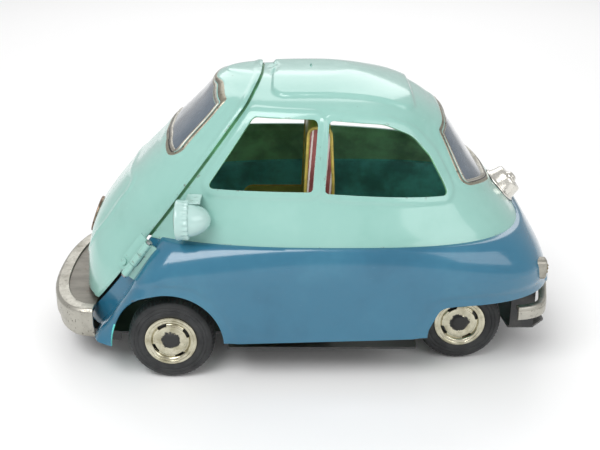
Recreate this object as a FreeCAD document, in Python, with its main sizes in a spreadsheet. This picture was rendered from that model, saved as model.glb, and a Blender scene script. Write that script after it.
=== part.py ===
import FreeCAD, Part
import math
import os

import Sketcher
from FreeCAD import Placement, Rotation, Vector

# A friction-drive tin bubble car, in millimetres.
# +X points to the tail, -Y is the left side and +Z is up. The origin is on the floor,
# under the middle of the car. The whole nose is a door, hinged on the left.

SIZES = {
    "skin": 0.7,              # lacquered sheet, with its paint
    "hair": 0.05,             # gap that keeps two stacked skins apart
    "door_slope": 0.7655,     # x per z of the plane that parts the door from the body
    "door_start": -80.84,     # x of that plane at floor height
    "door_gap": 1.3,          # along x
    "door_proud": 0.8,
    "door_foot": 22.0,
    "belt_line": 44.0,
    "glass_thickness": 0.55,
    "frame_height": 0.6,
    "frame_outside": 1.2,     # how far the frame reaches over the skin
    "frame_inside": 0.8,      # and over the pane
    "roof_panel_rise": 0.9,
    "roof_panel_front": -9.6,
    "roof_panel_back": 34.0,
    "roof_panel_half": 22.0,
    "rim_rise": 0.55,
    "rim_width": 2.2,
    "fender_half": 43.8,
    "fender_shoulder": 34.0,  # height where the fender side turns inwards
    "fender_crown": 10.5,     # rise of that rounded shoulder
    "fender_front": -73.04,   # x of the fender's front face, carried down to the floor
    "fender_slope": 0.69,
    "fender_corner": 7.0,
    "fender_tail": 79.4,      # x of the rear face at the skirt
    "fender_tail_high": 76.2,
    "fender_tail_power": 3.7, # how square the tail is in plan
    "skirt_line": 26.0,
    "sill_tip": 12.8,         # lower edge in front of the front wheel
    "sill_front": 13.4,
    "sill_back": 15.8,
    "arch_x": -41.3,
    "arch_radius": 17.2,
    "rear_arch_front": 38.0,
    "tyre_radius": 13.4,
    "tyre_width": 8.5,
    "tyre_bore": 7.9,
    "hub_radius": 7.85,
    "axle_radius": 1.2,
    "front_axle_x": -40.7,
    "front_track": 41.6,      # outer face of a front tyre
    "rear_axle_x": 50.0,
    "rear_track": 29.7,
    "running_gap": 0.05,
    "plate_top": 11.1,
    "plate_thickness": 0.7,
    "gear_module": 0.5,
    "gear_teeth": 24,
    "pinion_teeth": 10,
    "gear_width": 2.0,
    "idler_angle": 20.0,
    "flywheel_angle": 45.0,
    "flywheel_radius": 9.5,
    "flywheel_width": 4.0,
    "shaft_radius": 0.8,
    "motor_half": 5.5,
    "motor_front": 29.0,
    "motor_back": 56.0,
    "motor_height": 28.5,
    "headlamp_x": -36.0,
    "headlamp_y": 39.0,
    "headlamp_z": 52.7,
    "headlamp_ring": 6.1,
    "headlamp_pod": 5.1,
    "tail_lamp_x": 69.0,
    "bumper_top": 21.0,
    "bumper_height": 10.0,
    "bumper_back": -65.5,
    "bumper_half": 35.5,
    "bumper_depth": 17.0,
    "bumper_wall": 4.5,
    "seat_half": 26.0,
    "seat_front": -21.0,
    "seat_height": 39.5,
    "seat_top": 77.0,
    "hinge_x": -50.3,
    "hinge_y": -36.8,
    "hinge_z": 39.1,
    "hinge_length": 12.7,
    "knuckle_radius": 1.3,
    "pin_radius": 0.55,
}

# Horizontal sections of the egg-shaped cabin: height, nose x, tail x, half width, and how
# square the front and rear halves are (2 is an ellipse).
LEVELS = {
    "skirt": (9.0, -72.6, 83.0, 41.0, 3.7, 3.2),
    "hem": (22.0, -70.3, 79.5, 41.3, 3.5, 3.2),
    "knee": (34.0, -69.3, 75.0, 41.4, 3.1, 3.1),
    "belt": (44.0, -65.8, 69.3, 41.2, 2.42, 3.1),
    "waist": (52.0, -59.7, 62.4, 38.0, 2.8, 2.95),
    "sill": (60.0, -52.4, 55.2, 35.0, 3.1, 2.9),
    "glass": (70.0, -41.8, 48.4, 32.8, 3.2, 2.8),
    "lintel": (78.0, -33.2, 42.4, 30.6, 2.95, 2.7),
    "cornice": (83.0, -28.9, 34.4, 27.8, 2.75, 2.6),
    "eaves": (85.4, -27.0, 28.0, 22.0, 2.55, 2.5),
    "brow": (87.1, -25.6, 22.0, 16.4, 2.4, 2.4),
    "crest": (88.1, -23.6, 17.4, 12.4, 2.3, 2.3),
    "crown": (88.6, -19.6, 13.0, 8.5, 2.2, 2.2),
}
LEVEL_PARTS = ("height", "nose", "tail", "half", "front_power", "rear_power")
RING_POINTS = 48
MIDDLE = {"low": 10.0, "high": 3.0}   # x of the widest point, low down and at the roof


# ---------------------------------------------------------------- sizes from the sheet

def number(size):
    return size.value if isinstance(size, Size) else float(size)


def formula(size):
    return size.text if isinstance(size, Size) else repr(float(size))


class Size:
    """A number together with the sheet formula that it comes from."""

    def __init__(self, value, text):
        self.value = float(value)
        self.text = text

    def __add__(self, other):
        return Size(self.value + number(other), f"({self.text} + {formula(other)})")

    def __radd__(self, other):
        return self + other

    def __neg__(self):
        return Size(-self.value, f"(0 - {self.text})")

    def __sub__(self, other):
        return self + (-other)

    def __rsub__(self, other):
        return -self + other

    def __mul__(self, other):
        return Size(self.value * number(other), f"({self.text} * {formula(other)})")

    def __rmul__(self, other):
        return self * other

    def __truediv__(self, other):
        return self * (1.0 / number(other))


doc = FreeCAD.newDocument("friction_car")
sheet = doc.addObject("Spreadsheet::Sheet", "Spec")


def fill_sheet():
    rows = dict(SIZES)
    for level, values in LEVELS.items():
        for part, value in zip(LEVEL_PARTS, values):
            rows[f"{level}_{part}"] = value
    rows["middle_low"] = MIDDLE["low"]
    rows["middle_high"] = MIDDLE["high"]
    for row, (alias, value) in enumerate(rows.items(), start=1):
        sheet.set(f"A{row}", alias)
        sheet.set(f"B{row}", str(value))
        sheet.setAlias(f"B{row}", alias)
    doc.recompute()


def dim(alias):
    return Size(sheet.get(alias), f"Spec.{alias}")


def val(alias):
    return float(sheet.get(alias))


fill_sheet()
SKIN = val("skin")
HAIR = val("hair")
BELT = val("belt_line")
NODES = []


# ---------------------------------------------------------------- general builders

def place(item, spot, rotation=None):
    """Puts an object at a spot of three sizes, bound to the sheet."""
    x, y, z = (number(size) for size in spot)
    item.Placement = Placement(Vector(x, y, z), rotation or Rotation())
    for axis, size in zip("xyz", spot):
        if isinstance(size, Size):
            item.setExpression(f"Placement.Base.{axis}", size.text)


def keep(item, node):
    item.Label = node
    NODES.append(item)
    return item


def skin_node(node, shape):
    """A sheet-metal or glass piece whose surface follows the lofted body."""
    solids = sorted(shape.Solids, key=lambda solid: solid.Volume)
    item = doc.addObject("Part::Feature", node)
    item.Shape = solids[0] if len(solids) == 1 else Part.Compound(solids)
    return keep(item, node)


def outline_sketch(body, role, corners, lift=0.0):
    """A closed polygon on one of the body's own planes, every corner bound to the sheet."""
    plane = [item for item in body.Origin.OriginFeatures if item.Role == role][0]
    sketch = body.newObject("Sketcher::SketchObject", f"{body.Name}_outline")
    sketch.AttachmentSupport = [(plane, "")]
    sketch.MapMode = "FlatFace"
    if number(lift):
        sketch.AttachmentOffset = Placement(Vector(0, 0, number(lift)), Rotation())
        sketch.setExpression("AttachmentOffset.Base.z", formula(lift))
    points = [Vector(number(u), number(v), 0) for u, v in corners]
    count = len(points)
    lines = [Part.LineSegment(points[i], points[(i + 1) % count]) for i in range(count)]
    sketch.addGeometry(lines)
    rules = [Sketcher.Constraint("Coincident", i, 2, (i + 1) % count, 1) for i in range(count)]
    bound = []
    for i, corner in enumerate(corners):
        for kind, size in zip(("DistanceX", "DistanceY"), corner):
            if isinstance(size, Size):
                bound.append((len(rules), size.text))
            rules.append(Sketcher.Constraint(kind, -1, 1, i, 1, number(size)))
    sketch.addConstraint(rules)
    for index, text in bound:
        sketch.setExpression(f"Constraints[{index}]", text)
    return sketch


def new_body(node):
    body = doc.addObject("PartDesign::Body", node)
    return keep(body, node)


def add_pad(body, role, corners, height, lift=0.0, midplane=False, kind="Pad"):
    sketch = outline_sketch(body, role, corners, lift)
    pad = body.newObject(f"PartDesign::{kind}", f"{body.Name}_{kind}")
    pad.Profile = sketch
    pad.Length = number(height)
    if isinstance(height, Size):
        pad.setExpression("Length", height.text)
    pad.Midplane = midplane
    sketch.Visibility = False
    return pad


def turned(node, corners, spot, direction=(0, 0, 1)):
    """A piece turned about its own axis: corners are (radius, distance along the axis)."""
    body = new_body(node)
    sketch = outline_sketch(body, "XZ_Plane", corners)
    spin = body.newObject("PartDesign::Revolution", f"{node}_turning")
    spin.Profile = sketch
    spin.ReferenceAxis = (sketch, ["V_Axis"])
    spin.Angle = 360
    place(body, spot, Rotation(Vector(0, 0, 1), Vector(*direction)))
    return body


def mirrored_half(half):
    """Adds the mirror image in y to an open outline that runs down the +Y side."""
    other = [(x, -y) for x, y in reversed(half) if number(y) != 0.0]
    return half + other


# ---------------------------------------------------------------- the lofted cabin

def level_size(level, part):
    return val(f"{level}_{part}")


def between(levels, part, height):
    """A level size at any height, by straight interpolation."""
    heights = [level_size(level, "height") for level in levels]
    sizes = [level_size(level, part) for level in levels]
    for low in range(len(levels) - 1):
        if height <= heights[low + 1]:
            share = (height - heights[low]) / (heights[low + 1] - heights[low])
            return sizes[low] + share * (sizes[low + 1] - sizes[low])
    return sizes[-1]


def middle_x(height):
    top = level_size("crown", "height")
    share = max(0.0, (height - BELT) / (top - BELT))
    return val("middle_low") + share * (val("middle_high") - val("middle_low"))


def lean(level):
    """How far the side of the cabin has tipped over at a level, in radians."""
    names = list(LEVELS)
    place_in_list = names.index(level)
    low = names[max(0, place_in_list - 1)]
    high = names[min(len(names) - 1, place_in_list + 1)]
    rise = level_size(high, "height") - level_size(low, "height")
    inset = level_size(low, "half") - level_size(high, "half")
    return math.atan2(max(0.0, inset), rise)


def egg_point(angle, centre, nose, tail, half, front_power, rear_power):
    along = math.cos(angle)
    across = math.sin(angle)
    reach = tail - centre if along >= 0 else centre - nose
    power = rear_power if along >= 0 else front_power
    stretch = (abs(along) ** power + abs(across) ** power) ** (-1.0 / power)
    return centre + reach * along * stretch, half * across * stretch


def egg_ring(level, offset):
    tip = lean(level)
    out = offset * math.cos(tip)
    nose = level_size(level, "nose") - out
    tail = level_size(level, "tail") + out
    half = level_size(level, "half") + out
    height = level_size(level, "height") + offset * math.sin(tip)
    centre = middle_x(level_size(level, "height"))
    powers = level_size(level, "front_power"), level_size(level, "rear_power")
    points = []
    for index in range(RING_POINTS):
        angle = 2 * math.pi * index / RING_POINTS
        x, y = egg_point(angle, centre, nose, tail, half, *powers)
        points.append(Vector(x, y, height))
    return points


def closed_wire(points):
    curve = Part.BSplineCurve()
    curve.interpolate(Points=points, PeriodicFlag=True)
    return Part.Wire([curve.toShape()])


def egg(offset):
    """The cabin as a solid, grown or shrunk by an offset."""
    return Part.makeLoft([closed_wire(egg_ring(level, offset)) for level in LEVELS], True)


def egg_half(x, height):
    """Half width of the cabin at a place."""
    names = list(LEVELS)
    centre = middle_x(height)
    reach = between(names, "tail", height) - centre
    power = between(names, "rear_power", height)
    if x < centre:
        reach = centre - between(names, "nose", height)
        power = between(names, "front_power", height)
    share = max(0.0, 1.0 - (abs(x - centre) / reach) ** power)
    return between(names, "half", height) * share ** (1.0 / power)


def slab(x_low, x_high, y_low, y_high, z_low, z_high):
    corner = Vector(x_low, y_low, z_low)
    return Part.makeBox(x_high - x_low, y_high - y_low, z_high - z_low, corner)


def door_plane_x(height):
    return val("door_start") + val("door_slope") * height


def beyond_door_plane(shift, to_front):
    """A wedge that fills everything in front of, or behind, the door plane."""
    far = -140.0 if to_front else 140.0
    low, high = -20.0, 120.0
    corners = [Vector(door_plane_x(low) + shift, 0, low), Vector(far, 0, low),
               Vector(far, 0, high), Vector(door_plane_x(high) + shift, 0, high)]
    face = Part.Face(Part.makePolygon(corners + corners[:1]))
    face.translate(Vector(0, -80, 0))
    return face.extrude(Vector(0, 160, 0))


def rounded_face(points, radii):
    """A flat face through the points, with its corners rounded."""
    count = len(points)
    arcs = []
    for i in range(count):
        corner = points[i]
        back = (points[i - 1] - corner).normalize()
        ahead = (points[(i + 1) % count] - corner).normalize()
        half = back.getAngle(ahead) / 2
        reach = radii[i] / math.tan(half)
        centre = corner + (back + ahead).normalize() * (radii[i] / math.sin(half))
        middle = centre + (corner - centre).normalize() * radii[i]
        arcs.append((corner + back * reach, middle, corner + ahead * reach))
    edges = []
    for i in range(count):
        edges.append(Part.Arc(*arcs[i]).toShape())
        edges.append(Part.LineSegment(arcs[i][2], arcs[(i + 1) % count][0]).toShape())
    return Part.Face(Part.Wire(edges))


def grown(face, distance):
    return Part.Face(face.OuterWire.makeOffset2D(distance))


def through_y(face):
    face = face.copy()
    face.translate(Vector(0, -60, 0))
    return face.extrude(Vector(0, 120, 0))


def through_x(face, start, length):
    face = face.copy()
    face.translate(Vector(start, 0, 0))
    return face.extrude(Vector(length, 0, 0))


# Openings as polygons with a radius for each corner: side windows in x and z, screens in y and z.
FRONT_WINDOW = ((-28.9, 60.4), (2.9, 60.0), (4.5, 80.8), (-14.6, 81.2))
FRONT_WINDOW_RADII = (1.0, 1.2, 1.6, 2.2)
REAR_WINDOW = ((6.5, 59.6), (43.9, 57.4), (42.4, 61.0), (38.2, 68.8), (32.5, 75.2), (24.0, 79.0),
               (7.7, 80.6))
REAR_WINDOW_RADII = (1.0, 1.0, 8.0, 10.0, 12.0, 12.0, 1.4)
WINDSCREEN_HALF = ((14.0, 70.3), (24.2, 67.4), (19.8, 82.4), (9.0, 85.3))
REAR_SCREEN_HALF = ((10.0, 56.0), (24.5, 59.0), (19.2, 73.6), (8.0, 76.3))
SCREEN_RADII = (12.0, 1.2, 1.2, 12.0)


def side_face(points, radii):
    return rounded_face([Vector(x, 0, z) for x, z in points], radii)


def screen_face(half):
    """A screen opening as seen from the end of the car, mirrored from its +Y half."""
    corners = [Vector(0, y, z) for y, z in half] + [Vector(0, -y, z) for y, z in reversed(half)]
    return rounded_face(corners, SCREEN_RADII + SCREEN_RADII[::-1])


WINDSCREEN = screen_face(WINDSCREEN_HALF)
REAR_SCREEN = screen_face(REAR_SCREEN_HALF)


def upper_body_shell():
    inner = egg(-SKIN)
    core = egg(-SKIN / 2)
    shell = egg(0.0).cut(inner)
    panel_front, panel_back = val("roof_panel_front"), val("roof_panel_back")
    panel_half = val("roof_panel_half")
    panel_corners = [Vector(panel_front, -panel_half, 70), Vector(panel_back, -panel_half, 70),
                     Vector(panel_back, panel_half, 70), Vector(panel_front, panel_half, 70)]
    panel_corner = 5.0
    panel = rounded_face(panel_corners, [panel_corner] * 4).extrude(Vector(0, 0, 30))
    shell = shell.fuse(egg(val("roof_panel_rise")).common(panel).cut(core))
    rims = egg(val("rim_rise"))
    for points, radii in ((FRONT_WINDOW, FRONT_WINDOW_RADII), (REAR_WINDOW, REAR_WINDOW_RADII)):
        opening = side_face(points, radii)
        rim = rims.common(through_y(grown(opening, val("rim_width")))).cut(core)
        shell = shell.fuse(rim)
    for points, radii in ((FRONT_WINDOW, FRONT_WINDOW_RADII), (REAR_WINDOW, REAR_WINDOW_RADII)):
        shell = shell.cut(through_y(side_face(points, radii)))
    shell = shell.cut(through_x(REAR_SCREEN, 20, 80))
    shell = shell.cut(slab(-140, 140, -80, 80, -10, BELT + HAIR))
    shell = shell.cut(beyond_door_plane(val("door_gap") / 2, True))
    return skin_node("upper_body_shell", shell)


def hinge_notch():
    """The step in the door's left edge that the hinge leaf sits in."""
    box = Part.makeBox(5.4, 12.0, val("hinge_length") + 1.2)
    box.translate(Vector(-3.4, -6.0, -(val("hinge_length") + 1.2) / 2))
    box.Placement = Placement(hinge_centre(), door_frame_turn()).multiply(box.Placement)
    return box


def door_panel():
    proud = val("door_proud")
    shell = egg(proud).cut(egg(proud - SKIN))
    shell = shell.cut(beyond_door_plane(-val("door_gap") / 2, False))
    shell = shell.cut(slab(-140, 140, -80, 80, -10, val("door_foot")))
    shell = shell.cut(through_x(WINDSCREEN, -120, 120))
    shell = shell.cut(hinge_notch())
    return skin_node("door_panel", shell)


def screen(node_pane, node_frame, face, outer_skin, start, length, trim):
    """The pane lies inside the skin, and its plated frame lies round the opening outside."""
    pane_top = outer_skin - SKIN - HAIR
    pane = egg(pane_top).cut(egg(pane_top - val("glass_thickness")))
    pane = pane.common(through_x(grown(face, 1.0), start, length)).cut(trim)
    skin_node(node_pane, pane)
    frame = egg(outer_skin + HAIR + val("frame_height")).cut(egg(outer_skin + HAIR))
    ring = through_x(grown(face, val("frame_outside")), start, length)
    ring = ring.cut(through_x(grown(face, -val("frame_inside")), start, length))
    skin_node(node_frame, frame.common(ring).cut(trim))


# ---------------------------------------------------------------- the lower body

def fender_share(height):
    """0 where the lower body meets the cabin, 1 where it is full width."""
    rise = max(0.0, height - val("fender_shoulder")) / val("fender_crown")
    return math.sqrt(max(0.0, 1.0 - rise * rise))


def fender_tail(height):
    low, high = val("skirt_line"), val("fender_shoulder")
    slope = (val("fender_tail_high") - val("fender_tail")) / (high - low)
    return val("fender_tail") + slope * (max(height, 18.0) - low)


def fender_ring(height, offset):
    share = fender_share(height)
    centre = val("middle_low")
    front = val("fender_front") + val("fender_slope") * height - offset
    corner = val("fender_corner") + offset

    def side(x):
        cabin = egg_half(x, BELT) if height > val("fender_shoulder") else 0.0
        return (1.0 - share) * cabin + share * val("fender_half") + offset

    half = [(front, 0.0)]
    inner_edge = side(front + corner) - corner
    half += [(front, inner_edge * part) for part in (0.35, 0.7)]
    for step in range(5):
        turn = math.radians(180 - 22.5 * step)
        half.append((front + corner + corner * math.cos(turn), inner_edge + corner * math.sin(turn)))
    for step in range(1, 8):
        x = front + corner + (centre - front - corner) * step / 8
        half.append((x, side(x)))
    belt_tail, belt_half = level_size("belt", "tail"), level_size("belt", "half")
    belt_power = level_size("belt", "rear_power")
    for step in range(13):
        angle = math.pi / 2 * (1 - step / 12)
        seam = egg_point(angle, centre, 0, belt_tail + offset, belt_half + offset, 2, belt_power)
        full = egg_point(angle, centre, 0, fender_tail(height) + offset,
                         val("fender_half") + offset, 2, val("fender_tail_power"))
        half.append(tuple((1 - share) * a + share * b for a, b in zip(seam, full)))
    half[-1] = (half[-1][0], 0.0)
    ring = [Vector(x, y, height) for x, y in half]
    return ring + [Vector(x, -y, height) for x, y in reversed(half[1:-1])]


def fender_block(offset):
    heights = [6.0, 16.0, 26.0, 34.0, 37.5, 40.0, 42.0, 43.2, BELT]
    heights = [height if height < 34.1 else height + offset for height in heights]
    wires = []
    for height in heights:
        shape_height = height if height < 34.1 else height - offset
        ring = fender_ring(shape_height, offset)
        wires.append(closed_wire([Vector(point.x, point.y, height) for point in ring]))
    return Part.makeLoft(wires, True)


def rear_arch_face():
    front = val("rear_arch_front")
    line = val("skirt_line")
    corners = [(front - 1.5, 0), (front, 18.0), (front + 3.6, line - 0.5), (front + 8, line),
               (90, line), (90, 0)]
    return side_face(corners, (0.5, 6.0, 4.0, 10.0, 0.5, 0.5))


def belt_prism(offset, low, high):
    """An upright block with the outline of the cabin at the belt line."""
    face = Part.Face(closed_wire(egg_ring("belt", offset)))
    face.translate(Vector(0, 0, low - BELT))
    return face.extrude(Vector(0, 0, high - low))


def lower_body_shell():
    """Fenders and tail in one skin, with a strip of door jamb in front of each fender."""
    front_of_door = beyond_door_plane(val("door_gap") / 2, True)
    block, cabin, cabin_room = fender_block(0.0), egg(0.0), egg(-SKIN)
    shell = block.cut(fender_block(-SKIN))
    shell = shell.cut(belt_prism(-SKIN, BELT - 2.0, BELT + 2.0))
    jamb = cabin.cut(cabin_room).common(slab(-140, -36, -80, 80, 9.5, BELT))
    jamb = jamb.cut(front_of_door).cut(block)
    shell = shell.cut(cabin_room.common(slab(-140, -37, -80, 80, 9.3, BELT - 1.0)))
    shell = shell.fuse(jamb)
    arch_axis = Vector(val("arch_x"), -80, 13)
    shell = shell.cut(Part.makeCylinder(val("arch_radius"), 160, arch_axis, Vector(0, 1, 0)))
    shell = shell.cut(through_y(rear_arch_face()))
    tip = val("sill_tip")
    floor = [Vector(-140, 0, -20), Vector(-140, 0, tip), Vector(-60, 0, tip),
             Vector(-40, 0, val("sill_front")), Vector(40, 0, val("sill_back")),
             Vector(140, 0, val("sill_back")), Vector(140, 0, -20)]
    below_sill = Part.Face(Part.makePolygon(floor + floor[:1]))
    shell = shell.cut(through_y(below_sill))
    return skin_node("lower_body_shell", shell)


# ---------------------------------------------------------------- the hinge

def hinge_centre():
    return Vector(val("hinge_x"), val("hinge_y"), val("hinge_z"))


def hinge_axis():
    return Vector(val("door_slope"), 0, 1).normalize()


def frame_turn(along):
    """Rotation whose z is the hinge axis and whose x runs along the leaf."""
    z_axis = hinge_axis()
    x_axis = (along - z_axis * along.dot(z_axis)).normalize()
    y_axis = z_axis.cross(x_axis)
    return Rotation(x_axis, y_axis, z_axis, "ZXY")


def door_frame_turn():
    return frame_turn(Vector(0.87, -0.49, 0))


def body_frame_turn():
    return frame_turn(Vector(1, 0, 0))


def in_frame(shape, turn):
    shape.Placement = Placement(hinge_centre(), turn).multiply(shape.Placement)
    return shape


def knuckle(low, high):
    radius, bore = val("knuckle_radius"), val("pin_radius") + val("running_gap")
    outer = Part.makeCylinder(radius, high - low, Vector(0, 0, low))
    return outer.cut(Part.makeCylinder(bore, high - low, Vector(0, 0, low)))


def hinge_parts():
    """Two leaves with interleaved knuckles, a pin with two heads, and the door rivet."""
    half = val("hinge_length") / 2
    radius, sheet_metal, gap = val("knuckle_radius"), SKIN, 0.15
    third = val("hinge_length") / 6
    bore = Part.makeCylinder(val("pin_radius") + val("running_gap"), 40, Vector(0, 0, -20))
    clear = radius + 0.2

    leaf = Part.makeBox(4.2, sheet_metal, 2 * half, Vector(-4.6, 0.6, -half))
    for low, high in ((-half, -third), (third, half)):
        relief = Part.makeBox(2 * clear, 2 * clear, high - low + gap, Vector(-clear, -clear, low - gap / 2))
        leaf = leaf.cut(relief)
    leaf = leaf.fuse(knuckle(-third + gap, third - gap)).cut(bore)
    hole = Part.makeCylinder(0.8, 4, Vector(-3.2, -1, -half + 2.2), Vector(0, 1, 0))
    door_leaf = in_frame(leaf.cut(hole), door_frame_turn())

    plate = Part.makeBox(4.4, sheet_metal, 2 * half, Vector(0.2, 0.0, -half))
    relief = Part.makeBox(2 * clear, 2 * clear, 2 * third, Vector(-clear, -clear, -third))
    plate = plate.cut(relief)
    for low, high in ((-half, -third), (third, half)):
        plate = plate.fuse(knuckle(low, high))
    body_leaf = in_frame(plate.cut(bore), body_frame_turn()).cut(fender_block(HAIR))

    pin = Part.makeCylinder(val("pin_radius"), 2 * half + 0.4, Vector(0, 0, -half - 0.2))
    for low in (-half - 0.7, half + 0.1):
        pin = pin.fuse(Part.makeCylinder(0.9, 0.6, Vector(0, 0, low)))
    pin = in_frame(pin, body_frame_turn())

    rivet = Part.makeCylinder(0.75, 1.5, Vector(-3.2, 0.2, -half + 2.2), Vector(0, 1, 0))
    head = Part.makeCylinder(1.1, 0.5, Vector(-3.2, 0.05, -half + 2.2), Vector(0, 1, 0))
    rivet = in_frame(rivet.fuse(head), door_frame_turn())
    skin_node("door_hinge_leaf", door_leaf)
    skin_node("body_hinge_leaf", body_leaf)
    skin_node("hinge_pin", pin)
    skin_node("hinge_rivet", rivet)


# ---------------------------------------------------------------- chassis and motor

def base_plate():
    """The black pan: a flat plate, narrow between the wheels, with turned-up edges."""
    body = new_body("base_plate")
    thick = dim("plate_thickness")
    low = dim("plate_top") - thick
    flap = 27.0   # half width of the plate behind the rear wheels
    half = [(-72.0, 0.0), (-72.0, 24.0), (-67.0, 29.0), (-58.0, 31.0), (-24.0, 31.0), (-23.0, 41.0),
            (35.0, 41.0), (36.0, 19.0), (65.0, 19.0), (66.0, flap), (74.0, flap), (78.5, 22.0), (78.5, 0.0)]
    add_pad(body, "XY_Plane", mirrored_half(half), thick, low)
    near, far = -(dim("gear_width") / 2) - 0.8, dim("gear_width") * 1.5 + 1.4
    reach = dim("gear_module") * (dim("gear_teeth") / 2 + 1) + 1.0
    front, back = dim("rear_axle_x") - reach * 2, dim("rear_axle_x") + reach
    slot = [(front, near), (back, near), (back, far), (front, far)]
    cut = add_pad(body, "XY_Plane", slot, 4.0, low - 2.0, kind="Pocket")
    cut.Reversed = True
    for side in (-1, 1):
        edge = [(66.5, side * flap), (66.5, side * (flap - 1.0)), (74.0, side * (flap - 1.0)), (74.0, side * flap)]
        add_pad(body, "XY_Plane", edge, 13.0, dim("plate_top") - 0.1)
    lip_inside = [(-71.2, 0.0), (-71.2, 23.6), (-66.6, 28.2), (-58.0, 30.2)]
    for side in (-1, 1):
        lip = [(x, side * y) for x, y in half[:4] + lip_inside[::-1]]
        add_pad(body, "XY_Plane", lip, 2.6, low - 2.5)
    return body


def front_axle_bracket():
    """A U-shaped strap on the pan that the front axle turns in."""
    body = new_body("front_axle_bracket")
    foot = dim("plate_top")
    x_mid = dim("front_axle_x")
    ear = [(x_mid - 4.0, foot), (x_mid + 4.0, foot), (x_mid + 4.0, 14.0), (x_mid + 1.5, 17.0),
           (x_mid - 1.5, 17.0), (x_mid - 4.0, 14.0)]
    add_pad(body, "XZ_Plane", ear, 48.0, midplane=True)
    trough = [(x_mid - 6.0, foot + 0.9), (x_mid + 6.0, foot + 0.9), (x_mid + 6.0, 19.0), (x_mid - 6.0, 19.0)]
    add_pad(body, "XZ_Plane", trough, 46.0, midplane=True, kind="Pocket")
    return body


def bored(body, spot, radius, length=120.0):
    """Drills the body's shape right across the car and keeps the result as its own object."""
    tool = cylinder(f"{body.Label}_drill", radius, length, spot, (0, 1, 0))
    cut = doc.addObject("Part::Cut", f"{body.Name}_bored")
    cut.Base = body
    cut.Tool = tool
    label = body.Label
    NODES.remove(body)
    body.Label = f"{label}_blank"
    return keep(cut, label)


def cylinder(name, radius, length, spot, direction=(0, 0, 1)):
    item = doc.addObject("Part::Cylinder", name)
    for prop, size in (("Radius", radius), ("Height", length)):
        setattr(item, prop, number(size))
        if isinstance(size, Size):
            item.setExpression(prop, size.text)
    place(item, spot, Rotation(Vector(0, 0, 1), Vector(*direction)))
    return item


def axle(node, x, track):
    """An axle runs from just inside one hub's nose to the other."""
    reach = track - 3.2
    spot = (x, -reach, dim("tyre_radius"))
    return keep(cylinder(node, dim("axle_radius"), reach * 2, spot, (0, 1, 0)), node)


def wheel(name, x, track, side):
    """A pressed hub and a ribbed tyre; side is -1 on the left and 1 on the right."""
    outer, width = dim("tyre_radius"), dim("tyre_width")
    bore = dim("tyre_bore")
    tyre = [(bore, 0.0), (bore, width), (bore + 0.5, width), (outer - 1.2, width - 0.4),
            (outer - 0.3, width - 1.6), (outer, width * 0.5), (outer - 0.3, 1.6),
            (outer - 1.2, 0.4), (bore + 0.5, 0.0)]
    rim, hole = dim("hub_radius"), dim("axle_radius")
    hub = [(hole, 0.8), (hole, width - 1.5), (2.2, width - 0.9), (4.6, width - 1.6), (5.6, width - 2.6),
           (6.6, width - 1.9), (7.0, width - 0.7), (rim, width - 0.6), (rim, 0.6), (7.1, 0.6),
           (7.1, width - 3.3), (3.0, width - 3.3), (3.0, 0.8)]
    spot = (x, (track - width) * side, dim("tyre_radius"))
    turned(f"{name}_tyre", tyre, spot, (0, side, 0))
    turned(f"{name}_hub", hub, spot, (0, side, 0))


def gear_shape(teeth, width, bore, turn, tip_share=0.8):
    """Straight-flanked teeth, thin enough to leave play; the first one stands at turn."""
    module = val("gear_module")
    pitch = module * teeth / 2
    root, tip = pitch - 1.15 * module, pitch + tip_share * module
    step = 2 * math.pi / teeth
    corners = []
    for index in range(teeth):
        middle = turn + index * step
        for radius, share in ((root, -0.27), (tip, -0.1), (tip, 0.1), (root, 0.27)):
            angle = middle + share * step
            corners.append(Vector(radius * math.cos(angle), 0, radius * math.sin(angle)))
    face = Part.Face(Part.makePolygon(corners + corners[:1]))
    face.translate(Vector(0, -width / 2, 0))
    solid = face.extrude(Vector(0, width, 0))
    return solid.cut(Part.makeCylinder(bore, width, Vector(0, -width / 2, 0), Vector(0, 1, 0)))


def gear_spots():
    """Centres of the axle gear, the idler and the flywheel, in x and z."""
    reach = val("gear_module") * (val("gear_teeth") + val("pinion_teeth")) / 2
    axle_spot = (val("rear_axle_x"), val("tyre_radius"))
    rise = math.radians(val("idler_angle"))
    idler = (axle_spot[0] - reach * math.cos(rise), axle_spot[1] + reach * math.sin(rise))
    climb = math.radians(val("flywheel_angle"))
    fly = (idler[0] - reach * math.cos(climb), idler[1] + reach * math.sin(climb))
    return axle_spot, idler, fly


def gear_node(node, teeth, spot, y, bore, turn):
    item = doc.addObject("Part::Feature", node)
    item.Shape = gear_shape(teeth, val("gear_width"), bore, turn)
    item.Placement = Placement(Vector(spot[0], y, spot[1]), Rotation())
    return keep(item, node)


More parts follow.
